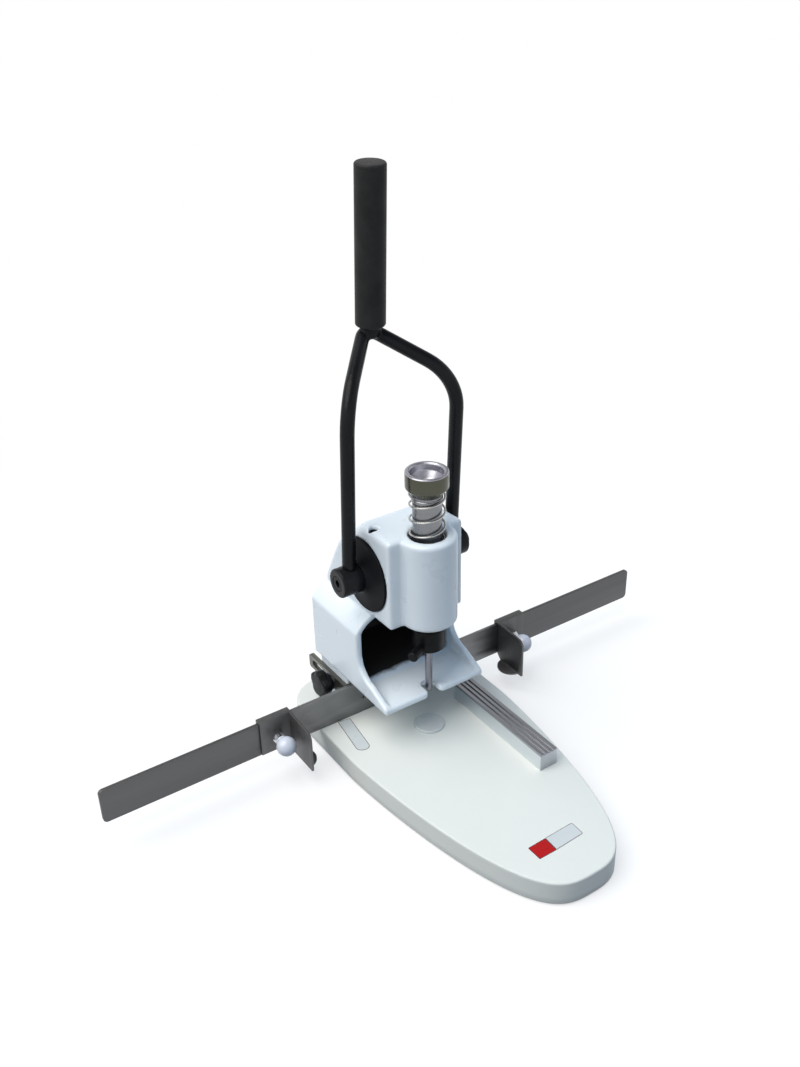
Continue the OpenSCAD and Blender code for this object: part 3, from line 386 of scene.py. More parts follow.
class Finish:
    """A material under construction: its node tree, its shader and its object coordinates."""

    def __init__(self, name, colour, roughness, metallic=0.0):
        self.material = bpy.data.materials.new(name)
        self.material.use_nodes = True
        self.tree = self.material.node_tree
        self.shader = next(n for n in self.tree.nodes if n.type == "BSDF_PRINCIPLED")
        self.colour = tuple(colour)
        self.set("Base Color", (*colour, 1.0))
        self.set("Roughness", roughness)
        self.set("Metallic", metallic)
        self.coords = self.new("ShaderNodeTexCoord").outputs["Object"]
        self.bump = None

    def set(self, socket, value):
        self.shader.inputs[socket].default_value = value
        return self

    def new(self, kind):
        return self.tree.nodes.new(kind)

    def link(self, a, b):
        self.tree.links.new(a, b)

    def noise(self, scale, detail=3.0, stretch=(1, 1, 1), roughness=0.55):
        """Noise on object coordinates, stretched by a mapping."""
        mapping = self.new("ShaderNodeMapping")
        mapping.inputs["Scale"].default_value = stretch
        self.link(self.coords, mapping.inputs["Vector"])
        noise = self.new("ShaderNodeTexNoise")
        noise.inputs["Scale"].default_value = scale
        noise.inputs["Detail"].default_value = detail
        noise.inputs["Roughness"].default_value = roughness
        self.link(mapping.outputs["Vector"], noise.inputs["Vector"])
        return noise.outputs["Fac"]

    def ramp(self, value, low, high, at=(0.3, 0.7)):
        """A value run through a ramp between two greys or two colours."""
        ramp = self.new("ShaderNodeValToRGB")
        four = lambda c: (*c, 1.0) if hasattr(c, "__len__") else (c, c, c, 1.0)
        ramp.color_ramp.elements[0].position, ramp.color_ramp.elements[1].position = at
        ramp.color_ramp.elements[0].color, ramp.color_ramp.elements[1].color = four(low), four(high)
        self.link(value, ramp.inputs["Fac"])
        return ramp.outputs["Color"]

    def vary_colour(self, value, low, high):
        """The base colour moves between two shades of itself."""
        shade = lambda k: tuple(min(1.0, c * k) for c in self.colour)
        self.link(self.ramp(value, shade(low), shade(high)), self.shader.inputs["Base Color"])
        return self

    def vary_roughness(self, value, low, high):
        self.link(self.ramp(value, low, high), self.shader.inputs["Roughness"])
        return self

    def change(self, mask, low, high, socket="Base Color"):
        """A socket goes from low where the mask is 0 to high where it is 1."""
        self.link(self.ramp(mask, low, high, (0.0, 1.0)), self.shader.inputs[socket])
        return self

    def axis(self, name):
        """The object coordinate along X, Y or Z, in metres."""
        split = self.new("ShaderNodeSeparateXYZ")
        self.link(self.coords, split.inputs["Vector"])
        return split.outputs[name]

    def reach(self, value, start, end):
        """0 before start and 1 past end."""
        reach = self.new("ShaderNodeMapRange")
        self.link(value, reach.inputs["Value"])
        reach.inputs["From Min"].default_value, reach.inputs["From Max"].default_value = start, end
        return reach.outputs["Result"]

    def zone(self, name, start, end):
        """0 before start and 1 past end along one axis of the object."""
        return self.reach(self.axis(name), start, end)

    def combine(self, kind, *values):
        """One sum, product or other operation on sockets and plain numbers."""
        join = self.new("ShaderNodeMath")
        join.operation = kind
        for socket, value in zip(join.inputs, values):
            if isinstance(value, float):
                socket.default_value = value
            else:
                self.link(value, socket)
        return join.outputs["Value"]

    def add_bump(self, value, strength, distance):
        """Bumps are chained, so several scales add up."""
        bump = self.new("ShaderNodeBump")
        bump.inputs["Strength"].default_value = strength
        bump.inputs["Distance"].default_value = distance
        self.link(value, bump.inputs["Height"])
        if self.bump:
            self.link(self.bump, bump.inputs["Normal"])
        self.bump = bump.outputs["Normal"]
        self.link(self.bump, self.shader.inputs["Normal"])
        return self


def coated(name, colour, roughness, specular, tint, sheen, *bumps):
    """A paint, plastic or rubber. Noise of a scale and detail moves its colour (tint) and its roughness (sheen)
    between a low and a high value, and each bump gives a scale, a detail, a strength and a height in metres."""
    f = Finish(name, colour, roughness)
    f.set("Specular IOR Level", specular)
    f.vary_colour(f.noise(*tint[:2]), *tint[2:])
    f.vary_roughness(f.noise(*sheen[:2]), *sheen[2:])
    for scale, detail, strength, height in bumps:
        f.add_bump(f.noise(scale, detail), strength, height)
    return f


def brushed(name, colour, roughness, stretch, strength, spread):
    """Metal with fine lines: noise drawn out along one direction tints it, and moves its roughness and height."""
    f = Finish(name, colour, roughness, 1.0)
    lines = f.noise(320, 4, stretch, 0.7)
    f.vary_colour(lines, 1 - spread, 1 + spread * 0.8)
    f.vary_roughness(f.noise(60, 4, stretch), roughness - 0.07, roughness + 0.1)
    return f.add_bump(lines, strength, 0.00012)


FINISHES = {}


def finish(key):
    """The material of a key, made once."""
    if key not in FINISHES:
        FINISHES[key] = FINISH_MAKERS[key]().material
    return FINISHES[key]


def make_enamel():
    """Gloss enamel: slight mottling and a fine hammered skin."""
    f = coated("gloss_enamel", colours().enamel, 0.28, 0.5, (16, 3, 0.98, 1.0), (60, 4, 0.26, 0.34),
               (460, 2, 0.08, 0.0002), (70, 2, 0.04, 0.0004))
    return f.set("Coat Weight", 0.15).set("Coat Roughness", 0.12)


def make_cavity_shade():
    """Painted shade in the housing's mouth: enamel painted a bluer shade, which past a wavering line turns to black
    painted shade deeper inside.
    """
    f = Finish("cavity_painted_shade", colours().enamel_shade, 0.34)
    waver = f.combine("MULTIPLY_ADD", f.noise(60, 3), 0.010, f.axis("Y"))
    painted_shade = f.reach(waver, 0.0405, 0.0455)
    # Past the line the colour turns to the black painted shade.
    f.change(painted_shade, f.colour, tuple(colours().cavity_shade)).change(painted_shade, 0.30, 0.7, "Roughness")
    return f.add_bump(f.noise(460, 2), 0.10, 0.0002)


def make_base_paint():
    return coated("base_paint", colours().base, 0.42, 0.2, (14, 5, 0.97, 1.0), (45, 4, 0.36, 0.48),
                  (900, 2, 0.12, 0.00012), (160, 3, 0.06, 0.0003))


def make_black_paint():
    return coated("satin_black", colours().black, 0.26, 0.13, (35, 4, 0.8, 1.3), (55, 4, 0.22, 0.33),
                  (800, 3, 0.12, 0.00012))


def make_dark_paint():
    """The same black, duller, as it lies on the bearing caps."""
    return coated("dull_black", colours().black, 0.42, 0.035, (35, 4, 0.8, 1.3), (55, 4, 0.38, 0.5),
                  (800, 3, 0.12, 0.00012))


def make_black_oxide():
    return coated("blackened_steel", colours().oxide, 0.34, 0.1, (120, 4, 0.7, 1.5), (140, 4, 0.28, 0.42),
                  (1400, 2, 0.12, 0.00008))


def make_steel():
    return brushed("turned_steel", colours().steel, 0.26, (1, 1, 9), 0.06, 0.08)


def make_cup_steel():
    """Turned steel that is darker and a little olive on the cup's belt, and plain on its neck."""
    f = brushed("cup_steel", colours().cup, 0.22, (1, 1, 9), 0.06, 0.08)
    f.vary_roughness(f.noise(150, 3, (1, 1, 2.5)), 0.16, 0.36)
    return f.change(f.zone("Z", 0.2615, 0.2655), tuple(colours().steel), tuple(colours().cup))


def make_dish_sheen():
    """The cup's rim and its dished inside: clean turned steel, whose bright, cool colour is partly a painted
    highlight along the rim and a painted cool reflection in the dish.
    """
    return brushed("dish_sheen_steel", colours().dish_sheen, 0.36, (1, 1, 6), 0.05, 0.08)


def make_punch_steel():
    return brushed("polished_steel", colours().punch, 0.2, (1, 1, 4), 0.04, 0.06)


def make_strip():
    """Dark brushed steel with a painted reflection that makes the middle of the bar lighter than its ends."""
    f = brushed("dark_brushed_steel", colours().strip, 0.42, (0.05, 1, 1.6), 0.05, 0.06)
    # Painted reflection: the bar's colour is lighter in its middle than towards its ends.
    middle = f.combine("MULTIPLY", f.zone("X", -0.128, -0.100), f.zone("X", 0.112, 0.100))
    own_colour, painted_reflection = np.array(colours().strip), np.array(colours().strip) * 1.95
    return f.change(middle, tuple(own_colour), tuple(painted_reflection))


def make_sheet():
    """The bar's steel, a little lighter and duller, for the side stops."""
    return brushed("bent_steel_sheet", np.array(colours().strip) * 1.15, 0.5, (1, 1, 0.1), 0.06, 0.08)


def make_zinc():
    return brushed("yellow_zinc", colours().zinc, 0.36, (1, 0.08, 1), 0.12, 0.16)


def make_bright_zinc():
    return brushed("bright_zinc", colours().bright, 0.26, (1, 1, 1), 0.06, 0.08)


def make_alloy():
    """Brushed aluminium: bright on the sides, duller on the grooved top and part of the way on the sawn end."""
    f = brushed("brushed_alloy", colours().alloy, 0.38, (1, 0.03, 1), 0.16, 0.1)
    end = f.combine("MULTIPLY", f.zone("Y", -0.1058, -0.1062), 0.6)
    dull = f.combine("MAXIMUM", f.zone("Z", 0.0386, 0.0393), end)
    return f.change(dull, tuple(colours().alloy), tuple(colours().dull_alloy))


def make_bronze():
    return brushed("turned_bronze", colours().bronze, 0.3, (1, 1, 8), 0.12, 0.12)


def make_spring():
    return brushed("spring_steel", colours().spring, 0.22, (1, 1, 1), 0.05, 0.08)


def make_white():
    f = coated("white_plastic", colours().white, 0.2, 0.5, (60, 3, 0.97, 1.0), (160, 3, 0.17, 0.28))
    return f.set("Coat Weight", 0.2).set("Subsurface Weight", 0.04)


def make_moulded():
    return coated("black_plastic", colours().moulded, 0.3, 0.08, (90, 3, 0.8, 1.5), (200, 3, 0.24, 0.38),
                  (1200, 2, 0.12, 0.0001))


def make_rubber():
    return coated("black_rubber", colours().rubber, 0.62, 0.2, (80, 4, 0.8, 1.3), (120, 4, 0.56, 0.72),
                  (1500, 3, 0.3, 0.00012))


def make_grip():
    """Foam rubber whose sheen is drawn out along the grip."""
    f = Finish("grip_rubber", colours().grip, 0.46)
    f.set("Specular IOR Level", 0.1)
    f.vary_colour(f.noise(50, 4), 0.8, 1.4)
    f.vary_roughness(f.noise(90, 4, (1, 1, 0.4)), 0.42, 0.56)
    return f.add_bump(f.noise(1300, 3), 0.25, 0.0001)


def make_nylon():
    f = Finish("nylon", colours().nylon, 0.5)
    f.set("Subsurface Weight", 0.05)
    f.vary_colour(f.noise(150, 4), 0.9, 1.0)
    return f.add_bump(f.noise(900, 3), 0.2, 0.00012)


def label_finish(name, colour):
    """Printed paper under a thin gloss."""
    return coated(name, colour, 0.34, 0.25, (90, 3, 0.965, 1.0), (120, 3, 0.26, 0.38))


FINISH_MAKERS = {
    "enamel": make_enamel, "cavity_shade": make_cavity_shade, "base": make_base_paint, "black": make_black_paint,
    "dark": make_dark_paint, "oxide": make_black_oxide, "steel": make_steel, "cup": make_cup_steel,
    "dish_sheen": make_dish_sheen, "punch": make_punch_steel, "strip": make_strip, "sheet": make_sheet, "zinc": make_zinc,
    "bright": make_bright_zinc, "alloy": make_alloy, "bronze": make_bronze, "spring": make_spring,
    "white": make_white, "moulded": make_moulded, "rubber": make_rubber, "grip": make_grip, "nylon": make_nylon,
    "label_red": lambda: label_finish("label_red", colours().red),
    "label_white": lambda: label_finish("label_white", colours().label),
    "label_rim": lambda: label_finish("label_rim", colours().label_rim),
}


# Operators

class PunchOperator:
    """What the operators share"""
    bl_options = {"REGISTER", "UNDO"}


BASE_LOW = 0.0015  # underside of the base's rim
BASE_DECK = 0.009  # thickness of the base's top
RIB_HALF = 0.003


def nose_curve(t):
    """The nose's width as a share of the base's: (1 - t^1.3)^(1/3), with t from the punch axis to the tip."""
    return np.clip(1 - t ** 1.3, 0, 1) ** (1 / 3)


def base_outline(inset, count=90):
    """The base seen from above, inset from its edge. The nose narrows by nose_curve, with points closer
    together towards the tip; behind it the sides run straight to two round corners."""
    s = sizes()
    k = np.linspace(0, 1, count)
    t = 1 - (1 - k) ** 2.6
    x = (s.base_half - inset) * nose_curve(t)
    y = -(s.nose_reach - inset) * t
    nose = np.stack([x, y], -1)
    a = np.radians(np.linspace(0, 90, 16))
    r = s.rear_corner - inset
    rear = np.stack([s.base_half - s.rear_corner + r * np.cos(a), s.base_rear - s.rear_corner + r * np.sin(a)], -1)
    right = np.concatenate([nose[::-1], rear])
    left = right[::-1] * (-1, 1)
    return np.concatenate([right, left[:-1]])


class PUNCH_OT_base(PunchOperator, bpy.types.Operator):
    """The base plate as one smooth skin, with the ribs and bosses under it"""
    bl_idname = "punch.base"
    bl_label = "Base plate"

    def execute(self, context):
        s = sizes()
        low, under, wall = BASE_LOW, s.base_top - BASE_DECK, s.base_wall
        a = np.radians(np.linspace(0, 90, 7))
        edge = s.base_edge
        rings = [(edge * (1 - math.cos(t)), s.base_top - edge * (1 - math.sin(t))) for t in a][::-1]
        rings += [(0.0, z) for z in np.linspace(s.base_top - edge - 0.002, low + 0.0012, 4)]
        rings += [(0.0004, low + 0.0004), (0.0012, low), (wall - 0.001, low), (wall, low + 0.001),
                  (wall + 0.0004, under - 0.003), (wall + 0.003, under)]
        grid = np.stack([np.concatenate([base_outline(i), np.full((len(base_outline(i)), 1), z)], 1)
                         for i, z in rings])
        shape = Shape().grid(grid, wrap_columns=True)
        foot, top = low + 0.002, under + 0.001
        for y in (-0.140, -0.070, 0.036):
            reach = self.half_at(y) - wall
            shape.add(box_points((-reach, y - RIB_HALF, foot), (reach, y + RIB_HALF, top)), BOX_FACES)
        front, rear = -0.2045, s.base_rear - wall
        for x in (-0.026, 0.026):
            shape.add(box_points((x - RIB_HALF, front, foot), (x + RIB_HALF, rear, top)), BOX_FACES)
        self.bosses(shape)
        set_piece(shape.build("base_skin", 30), "frame", finish("base"), "base_paint", "base_plate")
        return {"FINISHED"}

    def half_at(self, y):
        """Half of the base's width at a place along it, within the wall."""
        s = sizes()
        return s.base_half * nose_curve(min(1.0, max(0.0, -y / (s.nose_reach - s.base_wall))))

    def bosses(self, shape):
        """Turned rings with a hole, one under each foot, bolt, fence screw and the pad: each has its place, its
        outer and inner radius and the height of its foot."""
        top = sizes().base_top - BASE_DECK + 0.001
        feet = ((-0.057, 0.088), (0.057, 0.088), (-0.034, -0.155), (0.034, -0.155))
        rings = [(x, y, 0.0115, 0.0092, BASE_LOW) for x, y in feet]
        rings += [(x, y, 0.0105, 0.0070, 0.0105) for x in (-0.0365, 0.0365) for y in (0.072, 0.096)]
        rings += [(0.05015, y, 0.0080, 0.0050, 0.0090) for y in (-0.0863, 0.002)]
        rings += [(0.0, 0.0, 0.0200, 0.0040, 0.0080)]
        for x, y, outer, inner, z in rings:
            profile = [(inner, top), (inner, z), (outer - 0.0006, z), (outer, z + 0.0006), (outer, top)]
            ring = placed(revolved(profile, 40), Matrix.Translation((x, y, 0)))
            shape.grid(ring, wrap_rows=True, wrap_columns=True)


def inset_loop(loop, distance):
    """A closed loop moved inwards: each point goes along the mean of its two neighbours' inward normals."""
    ahead = np.roll(loop, -1, 0) - loop
    normal = np.stack([-ahead[:, 1], ahead[:, 0]], -1)
    normal /= np.linalg.norm(normal, axis=1)[:, None]
    area = np.sum(loop[:, 0] * np.roll(loop[:, 1], -1) - np.roll(loop[:, 0], -1) * loop[:, 1])
    inward = normal + np.roll(normal, 1, 0)
    inward *= np.sign(area) * 2 / np.sum(inward ** 2, 1)[:, None]
    return loop + distance * inward


def sheet_label(name, corners, radii, rim, thickness=0.00012):
    """A thin blank label on the base top with round corners, in millimetres: three rings, which are the edge's
    foot, its top and the inner side of the border, and a cap."""
    c = np.asarray(corners, float) * MM
    middle = (c[-1] + c[0]) / 2
    loop = filleted(np.concatenate([[middle], c, [middle]]), [0] + [r * MM for r in radii] + [0], 6)[:-1]
    low = sizes().base_top + 0.00003
    high = np.full((len(loop), 1), low + thickness)
    rings = np.stack([np.concatenate([loop, high - thickness], 1), np.concatenate([loop, high], 1),
                      np.concatenate([inset_loop(loop, rim * MM), high], 1)])
    return Shape().grid(rings, wrap_columns=True).build(name, 30)


class PUNCH_OT_labels(PunchOperator, bpy.types.Operator):
    """Blank labels on the base"""
    bl_idname = "punch.labels"
    bl_label = "Blank labels"

    def execute(self, context):
        labels = (
            ("label_end", "label_red", [(-24.9, -169.8), (-6.9, -169.2), (-7.6, -184.1), (-24.7, -184.2)],
             (0.8, 0.6, 0.6, 0.8), 0.5),
            ("label_plate", "label_white", [(-6.8, -169.2), (22.0, -168.4), (21.6, -182.6), (-7.5, -184.0)],
             (0.6, 1.6, 1.6, 0.6), 0.45),
            ("label_small", "label_white", [(-66.4, 50.3), (-54.4, 48.8), (-60.5, 2.1), (-72.7, 5.9)],
             (1.0, 1.0, 5.6, 5.6), 0.5))
        for name, key, corners, radii, rim in labels:
            obj = sheet_label(name, corners, radii, rim)
            set_piece(obj, "frame", [finish(key), finish("label_rim")], "base_paint")
            edge = np.array([len(p.vertices) == 4 for p in obj.data.polygons], int)  # all but the caps
            obj.data.polygons.foreach_set("material_index", edge)
        return {"FINISHED"}


def in_cavity(points):
    """Which points lie inside the housing's hollow, as far as the middle of its walls: between its upright
    sides, under its two shoulder arcs and above its tray."""
    x, y, z = np.abs(points[:, 0]), points[:, 1], points[:, 2]
    bend_x, bend_z, bend_r = 0.0246, 0.1081, 0.0289
    wall, tray, roof, front, rear = 0.0494, 0.0662, 0.1370, 0.0300, 0.1085
    under = (z < bend_z) | (x < bend_x) | (np.hypot(x - bend_x, z - bend_z) < bend_r)
    return (x < wall) & (z > tray) & (z < roof) & (y > front) & (y < rear) & under


class PUNCH_OT_casting(PunchOperator, bpy.types.Operator):
    """The C-frame casting: the solid's mesh, voxel-rounded as sand casting and enamel round it"""
    bl_idname = "punch.casting"
    bl_label = "Frame casting"

    def execute(self, context):
        solid = melted("casting", sizes().cast_voxel, 4, "frame_casting")
        set_piece(solid, "frame", [finish("enamel"), finish("cavity_shade")], "enamel", "frame_casting")
        # Faces in the housing's hollow get the finish with painted shade.
        solid.data.polygons.foreach_set("material_index", in_cavity(face_centres(solid)).astype(int))
        return {"FINISHED"}


def hub_matrix(side):
    """+Z of a turned piece along the cross shaft, outwards on one side."""
    return towards((side, 0, 0), (0, sizes().hub_depth, sizes().hub_height))


class PUNCH_OT_bearing_caps(PunchOperator, bpy.types.Operator):
    """Black bearing caps: a flange that sweeps up to the hub like a trumpet's bell"""
    bl_idname = "punch.bearing_caps"
    bl_label = "Bearing caps"

    def execute(self, context):
        a = np.radians(np.linspace(4, 88, 24))
        bell = np.stack([32.8 - 19.2 * np.sin(a), 45.0 - 5.6 * np.cos(a)], -1)
        inner = filleted([(12.05, 45.0), (12.05, 12), (17, 12), (17, 33), (32.4, 33), (32.4, 37.65), (33.6, 37.65),
                          (33.6, 39.3), (32.6, 39.4)], [0, .3, .3, .3, .3, 0, 0, .7, 0], 4)
        profile = np.concatenate([inner, bell, [(13.3, 45.0)]]) * MM
        for side, name in ((-1, "left"), (1, "right")):
            flare = turned(name + "_cap_flare", profile, 128, 40, hub_matrix(side))
            set_piece(flare, "frame", finish("dark"), "black_paint", name + "_bearing_cap")
        return {"FINISHED"}


LEVER_LEAN = 3.38  # degrees towards the operator at rest
GRIP_DEPTH = 0.0485  # from the shaft back to the grip's axis, in the lever's own frame


def lean(points):
    """Points in the lever's own frame (x, v, w from the shaft) leaned towards the operator and set on the shaft."""
    at = Matrix.Translation((0, sizes().hub_depth, sizes().hub_height))
    return placed(np.asarray(points, float), at @ Matrix.Rotation(math.radians(LEVER_LEAN), 4, "X"))


class PUNCH_OT_lever(PunchOperator, bpy.types.Operator):
    """The lever: the bent yoke with its weld, the grip and the hubs"""
    bl_idname = "punch.lever"
    bl_label = "Lever"

    def execute(self, context):
        s = sizes()
        yoke = melted("yoke_skin", s.yoke_voxel, 9, "yoke", "grip_core")
        set_piece(yoke, "handle", finish("black"), "black_paint", "yoke", "grip_core")
        for side, name in ((-1, "left"), (1, "right")):
            self.hub(side, name)
        g, low, high = s.grip_radius, s.grip_low, s.grip_high
        grip = filleted([(0.0081, low), (g - 0.0006, low), (g, low + 0.0008), (g, high - 0.0045),
                         (g - 0.0002, high - 0.0041), (g, high - 0.0037), (g, high), (0.0005, high)],
                        np.array([0, .3, 1.0, .2, .2, .2, 1.8, 0]) * MM, 6)
        grip = np.concatenate([grip, [(0.0005, high - 0.003), (0.0081, high - 0.003)]])
        shape = Shape().grid(lean(revolved(grip, 72) + (0, GRIP_DEPTH, 0)), wrap_rows=True, wrap_columns=True)
        set_piece(shape.build("grip", 35), "handle", finish("grip"), "grip_rubber", "hand_grip", "grip_cap")
        return {"FINISHED"}

    def hub(self, side, name):
        """A turned hub with rounded rims, and a bore in its outer end where its screw sits."""
        inner = 7.0 if side < 0 else 4.3
        seat = 60.5 if side < 0 else 64.7
        corners = np.array([(9.05, 45.3), (13, 45.3), (13, 64.7), (inner, 64.7), (inner, seat), (4.3, seat),
                            (4.3, 57), (9.05, 57)]) * MM
        radii = np.array([0, .8, 1.6, .5, 0, 0, 0, 0]) * MM
        hub = turned(name + "_hub_turned", filleted(corners, radii, 5), 72, 32, hub_matrix(side))
        set_piece(hub, "handle", finish("black"), "black_paint", name + "_hub")


class PUNCH_OT_spindle(PunchOperator, bpy.types.Operator):
    """The hollow spindle's cup, chuck and return spring"""
    bl_idname = "punch.spindle"
    bl_label = "Spindle and spring"

    def execute(self, context):
        cup = np.array([(12.2, 255.0), (13.1, 255.0), (13.1, 257.9), (12.6, 258.4), (12.6, 259.2), (13.1, 259.7),
                        (13.1, 261.0), (18, 267.5), (18, 281.3), (15.2, 281.3), (13.9, 280.0), (13.0, 275.3),
                        (9.0, 269.8), (5.2, 267.7), (5.2, 262.0), (12.2, 262.0)]) * MM
        radii = np.array([0, .3, .2, .2, .2, .2, 1.2, 1.4, 1.5, .8, .8, 2.5, 2.0, 1.0, 0, 0]) * MM
        obj = turned("cup_turned", filleted(cup, radii, 5), 96, 30)
        set_piece(obj, "spindle", [finish("cup"), finish("dish_sheen")], "steel", "spindle_cup")
        # The rim's top and the dish get the brighter steel, partly a painted highlight and a painted reflection.
        rim_from, dish_from, dish_radius = 0.2802, 0.2675, 0.0146
        at = face_centres(obj)
        inside = (np.hypot(at[:, 0], at[:, 1]) < dish_radius) & (at[:, 2] > dish_from)
        obj.data.polygons.foreach_set("material_index", ((at[:, 2] > rim_from) | inside).astype(int))
        chuck = np.array([(5.05, 112.0), (14.3, 112.0), (14.3, 132), (13.7, 132.6), (13.7, 140.0), (12.3, 140.0),
                          (12.3, 126.5), (5.05, 126.5)]) * MM
        radii = np.array([0, 1.4, .4, .4, .5, 0, 0, 0]) * MM
        set_piece(turned("chuck_turned", filleted(chuck, radii, 5), 72, 30), "spindle", finish("oxide"),
                  "black_oxide", "chuck")
        self.spring()
        return {"FINISHED"}

    def spring(self):
        """A helix of round wire: its height rises slowly in the closed end turns and steadily between them."""
        low, high, wire, mean = 0.2119, 0.2612, 0.0009, 0.0146
        pitch, closed, rise = 0.0134, 0.5, 0.00135
        turns = (high - low - 2 * rise) / pitch
        total = turns + 2 * closed
        t = np.linspace(0, total, 320)
        z = np.interp(t, [0, closed, closed + turns, total], [low, low + rise, high - rise, high])
        a = np.radians(10) - 2 * np.pi * (closed + turns - t)
        path = np.stack([mean * np.cos(a), mean * np.sin(a), z], -1)
        piece = Shape().grid(tube(path, wire, 14), wrap_columns=True).build("spring_wire", 50)
        set_piece(piece, "frame", finish("spring"), "steel", "return_spring")
        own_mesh(piece)


class PUNCH_OT_back_stop(PunchOperator, bpy.types.Operator):
    """The back stop bar, its slide bars and the two side stops, with broken edges"""
    bl_idname = "punch.back_stop"
    bl_label = "Back stop"

    def execute(self, context):
        set_piece(softened("back_stop_bar", "stop_strip", 0.0005, 2), "back_stop", finish("strip"), "dark_steel",
                  "back_stop_bar")
        for side in ("left", "right"):
            set_piece(softened(side + "_slide_bar", side + "_guide", 0.0004, 2), "back_stop", finish("zinc"), "zinc",
                      side + "_slide_bar")
            set_piece(softened(side + "_side_stop", side + "_stop_sheet", 0.0007, 3), side + "_stop", finish("sheet"),
                      "dark_steel", side + "_side_stop")
        set_piece(softened("side_fence", "fence_bar", 0.0007, 3), "frame", finish("alloy"), "aluminium", "side_fence")
        return {"FINISHED"}


class PUNCH_OT_knobs(PunchOperator, bpy.types.Operator):
    """The star knob and the two ball knobs"""
    bl_idname = "punch.knobs"
    bl_label = "Knobs"

    def execute(self, context):
        s = sizes()
        low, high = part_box("clamp_knob")
        depth = high.x - low.x
        h = np.array([0, 0, .04, .25, .29, .34, .42, .6, .8, .92, .98, 1.0, 1.0]) * depth
        size = np.array([.02, .52, .54, .54, .6, .85, .97, 1.0, 1.0, .96, .86, .7, .02])
        wave = np.array([0, 0, 0, 0, .3, .8, 1, 1, 1, .95, .8, .5, 0]) * 0.2
        a = np.linspace(0, 2 * np.pi, 120, endpoint=False)[None]
        lobes = 0.5 - 0.5 * np.cos(s.star_lobes * a)
        r = s.star_radius * size[:, None] * (1 - wave[:, None] * lobes ** 1.4)
        points = np.stack([r * np.cos(a), r * np.sin(a), h[:, None] + 0 * a], -1)
        slide_y, slide_z = 0.0817, 0.0462
        at = towards((-1, 0, 0), (high.x, slide_y, slide_z))
        star = Shape().grid(placed(points, at), wrap_columns=True).build("star_knob", 45)
        set_piece(star, "clamp", finish("moulded"), "black_plastic", "clamp_knob")
        r, ball_z, neck_ball = s.ball_radius, 0.0406, 0.0098  # neck_ball: the ball that the neck is drawn for
        t = np.radians(np.linspace(0.5, 148, 30))
        neck = np.array([(5.0, -9.4), (5.0, -10.0), (3.05, -10.0)]) * MM * (1, r / neck_ball)
        profile = np.concatenate([np.stack([r * np.sin(t), r * np.cos(t)], -1), neck])
        for side in ("left", "right"):
            low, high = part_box(side + "_ball_knob")
            at = towards((0, -1, 0), ((low.x + high.x) / 2, low.y + r, ball_z))
            ball = Shape().grid(placed(revolved(profile, 56), at), wrap_columns=True)
            set_piece(ball.build(side + "_ball", 40), side + "_stop_clamp", finish("white"), "white_plastic",
                      side + "_ball_knob")
        return {"FINISHED"}


class PUNCH_OT_finishes(PunchOperator, bpy.types.Operator):
    """Finishes for the solids that stay as they are"""
    bl_idname = "punch.finishes"
    bl_label = "Finishes of the solids"

    def execute(self, context):
        dress(finish("rubber"), "rubber_feet")
        dress(finish("nylon"), "cutting_pad")
        dress(finish("punch"), "punch")
        dress(finish("steel"), "foot_screws", "fence_screws", "frame_bolts", "right_guide_screw", "cross_shaft",
              "pinion", "shaft_keys", "spindle", "back_stop_screws", "clamp_stud", "clamp_washer")
        dress(finish("bright"), "left_stop_nut", "right_stop_nut", "left_clamp_screw", "right_clamp_screw")
        dress(finish("bronze"), "upper_guide_bush", "lower_guide_bush", "left_shaft_bush", "right_shaft_bush")
        dress(finish("oxide"), "cap_lock_screws", "left_hub_screw", "right_hub_screw", "punch_screw")
        return {"FINISHED"}


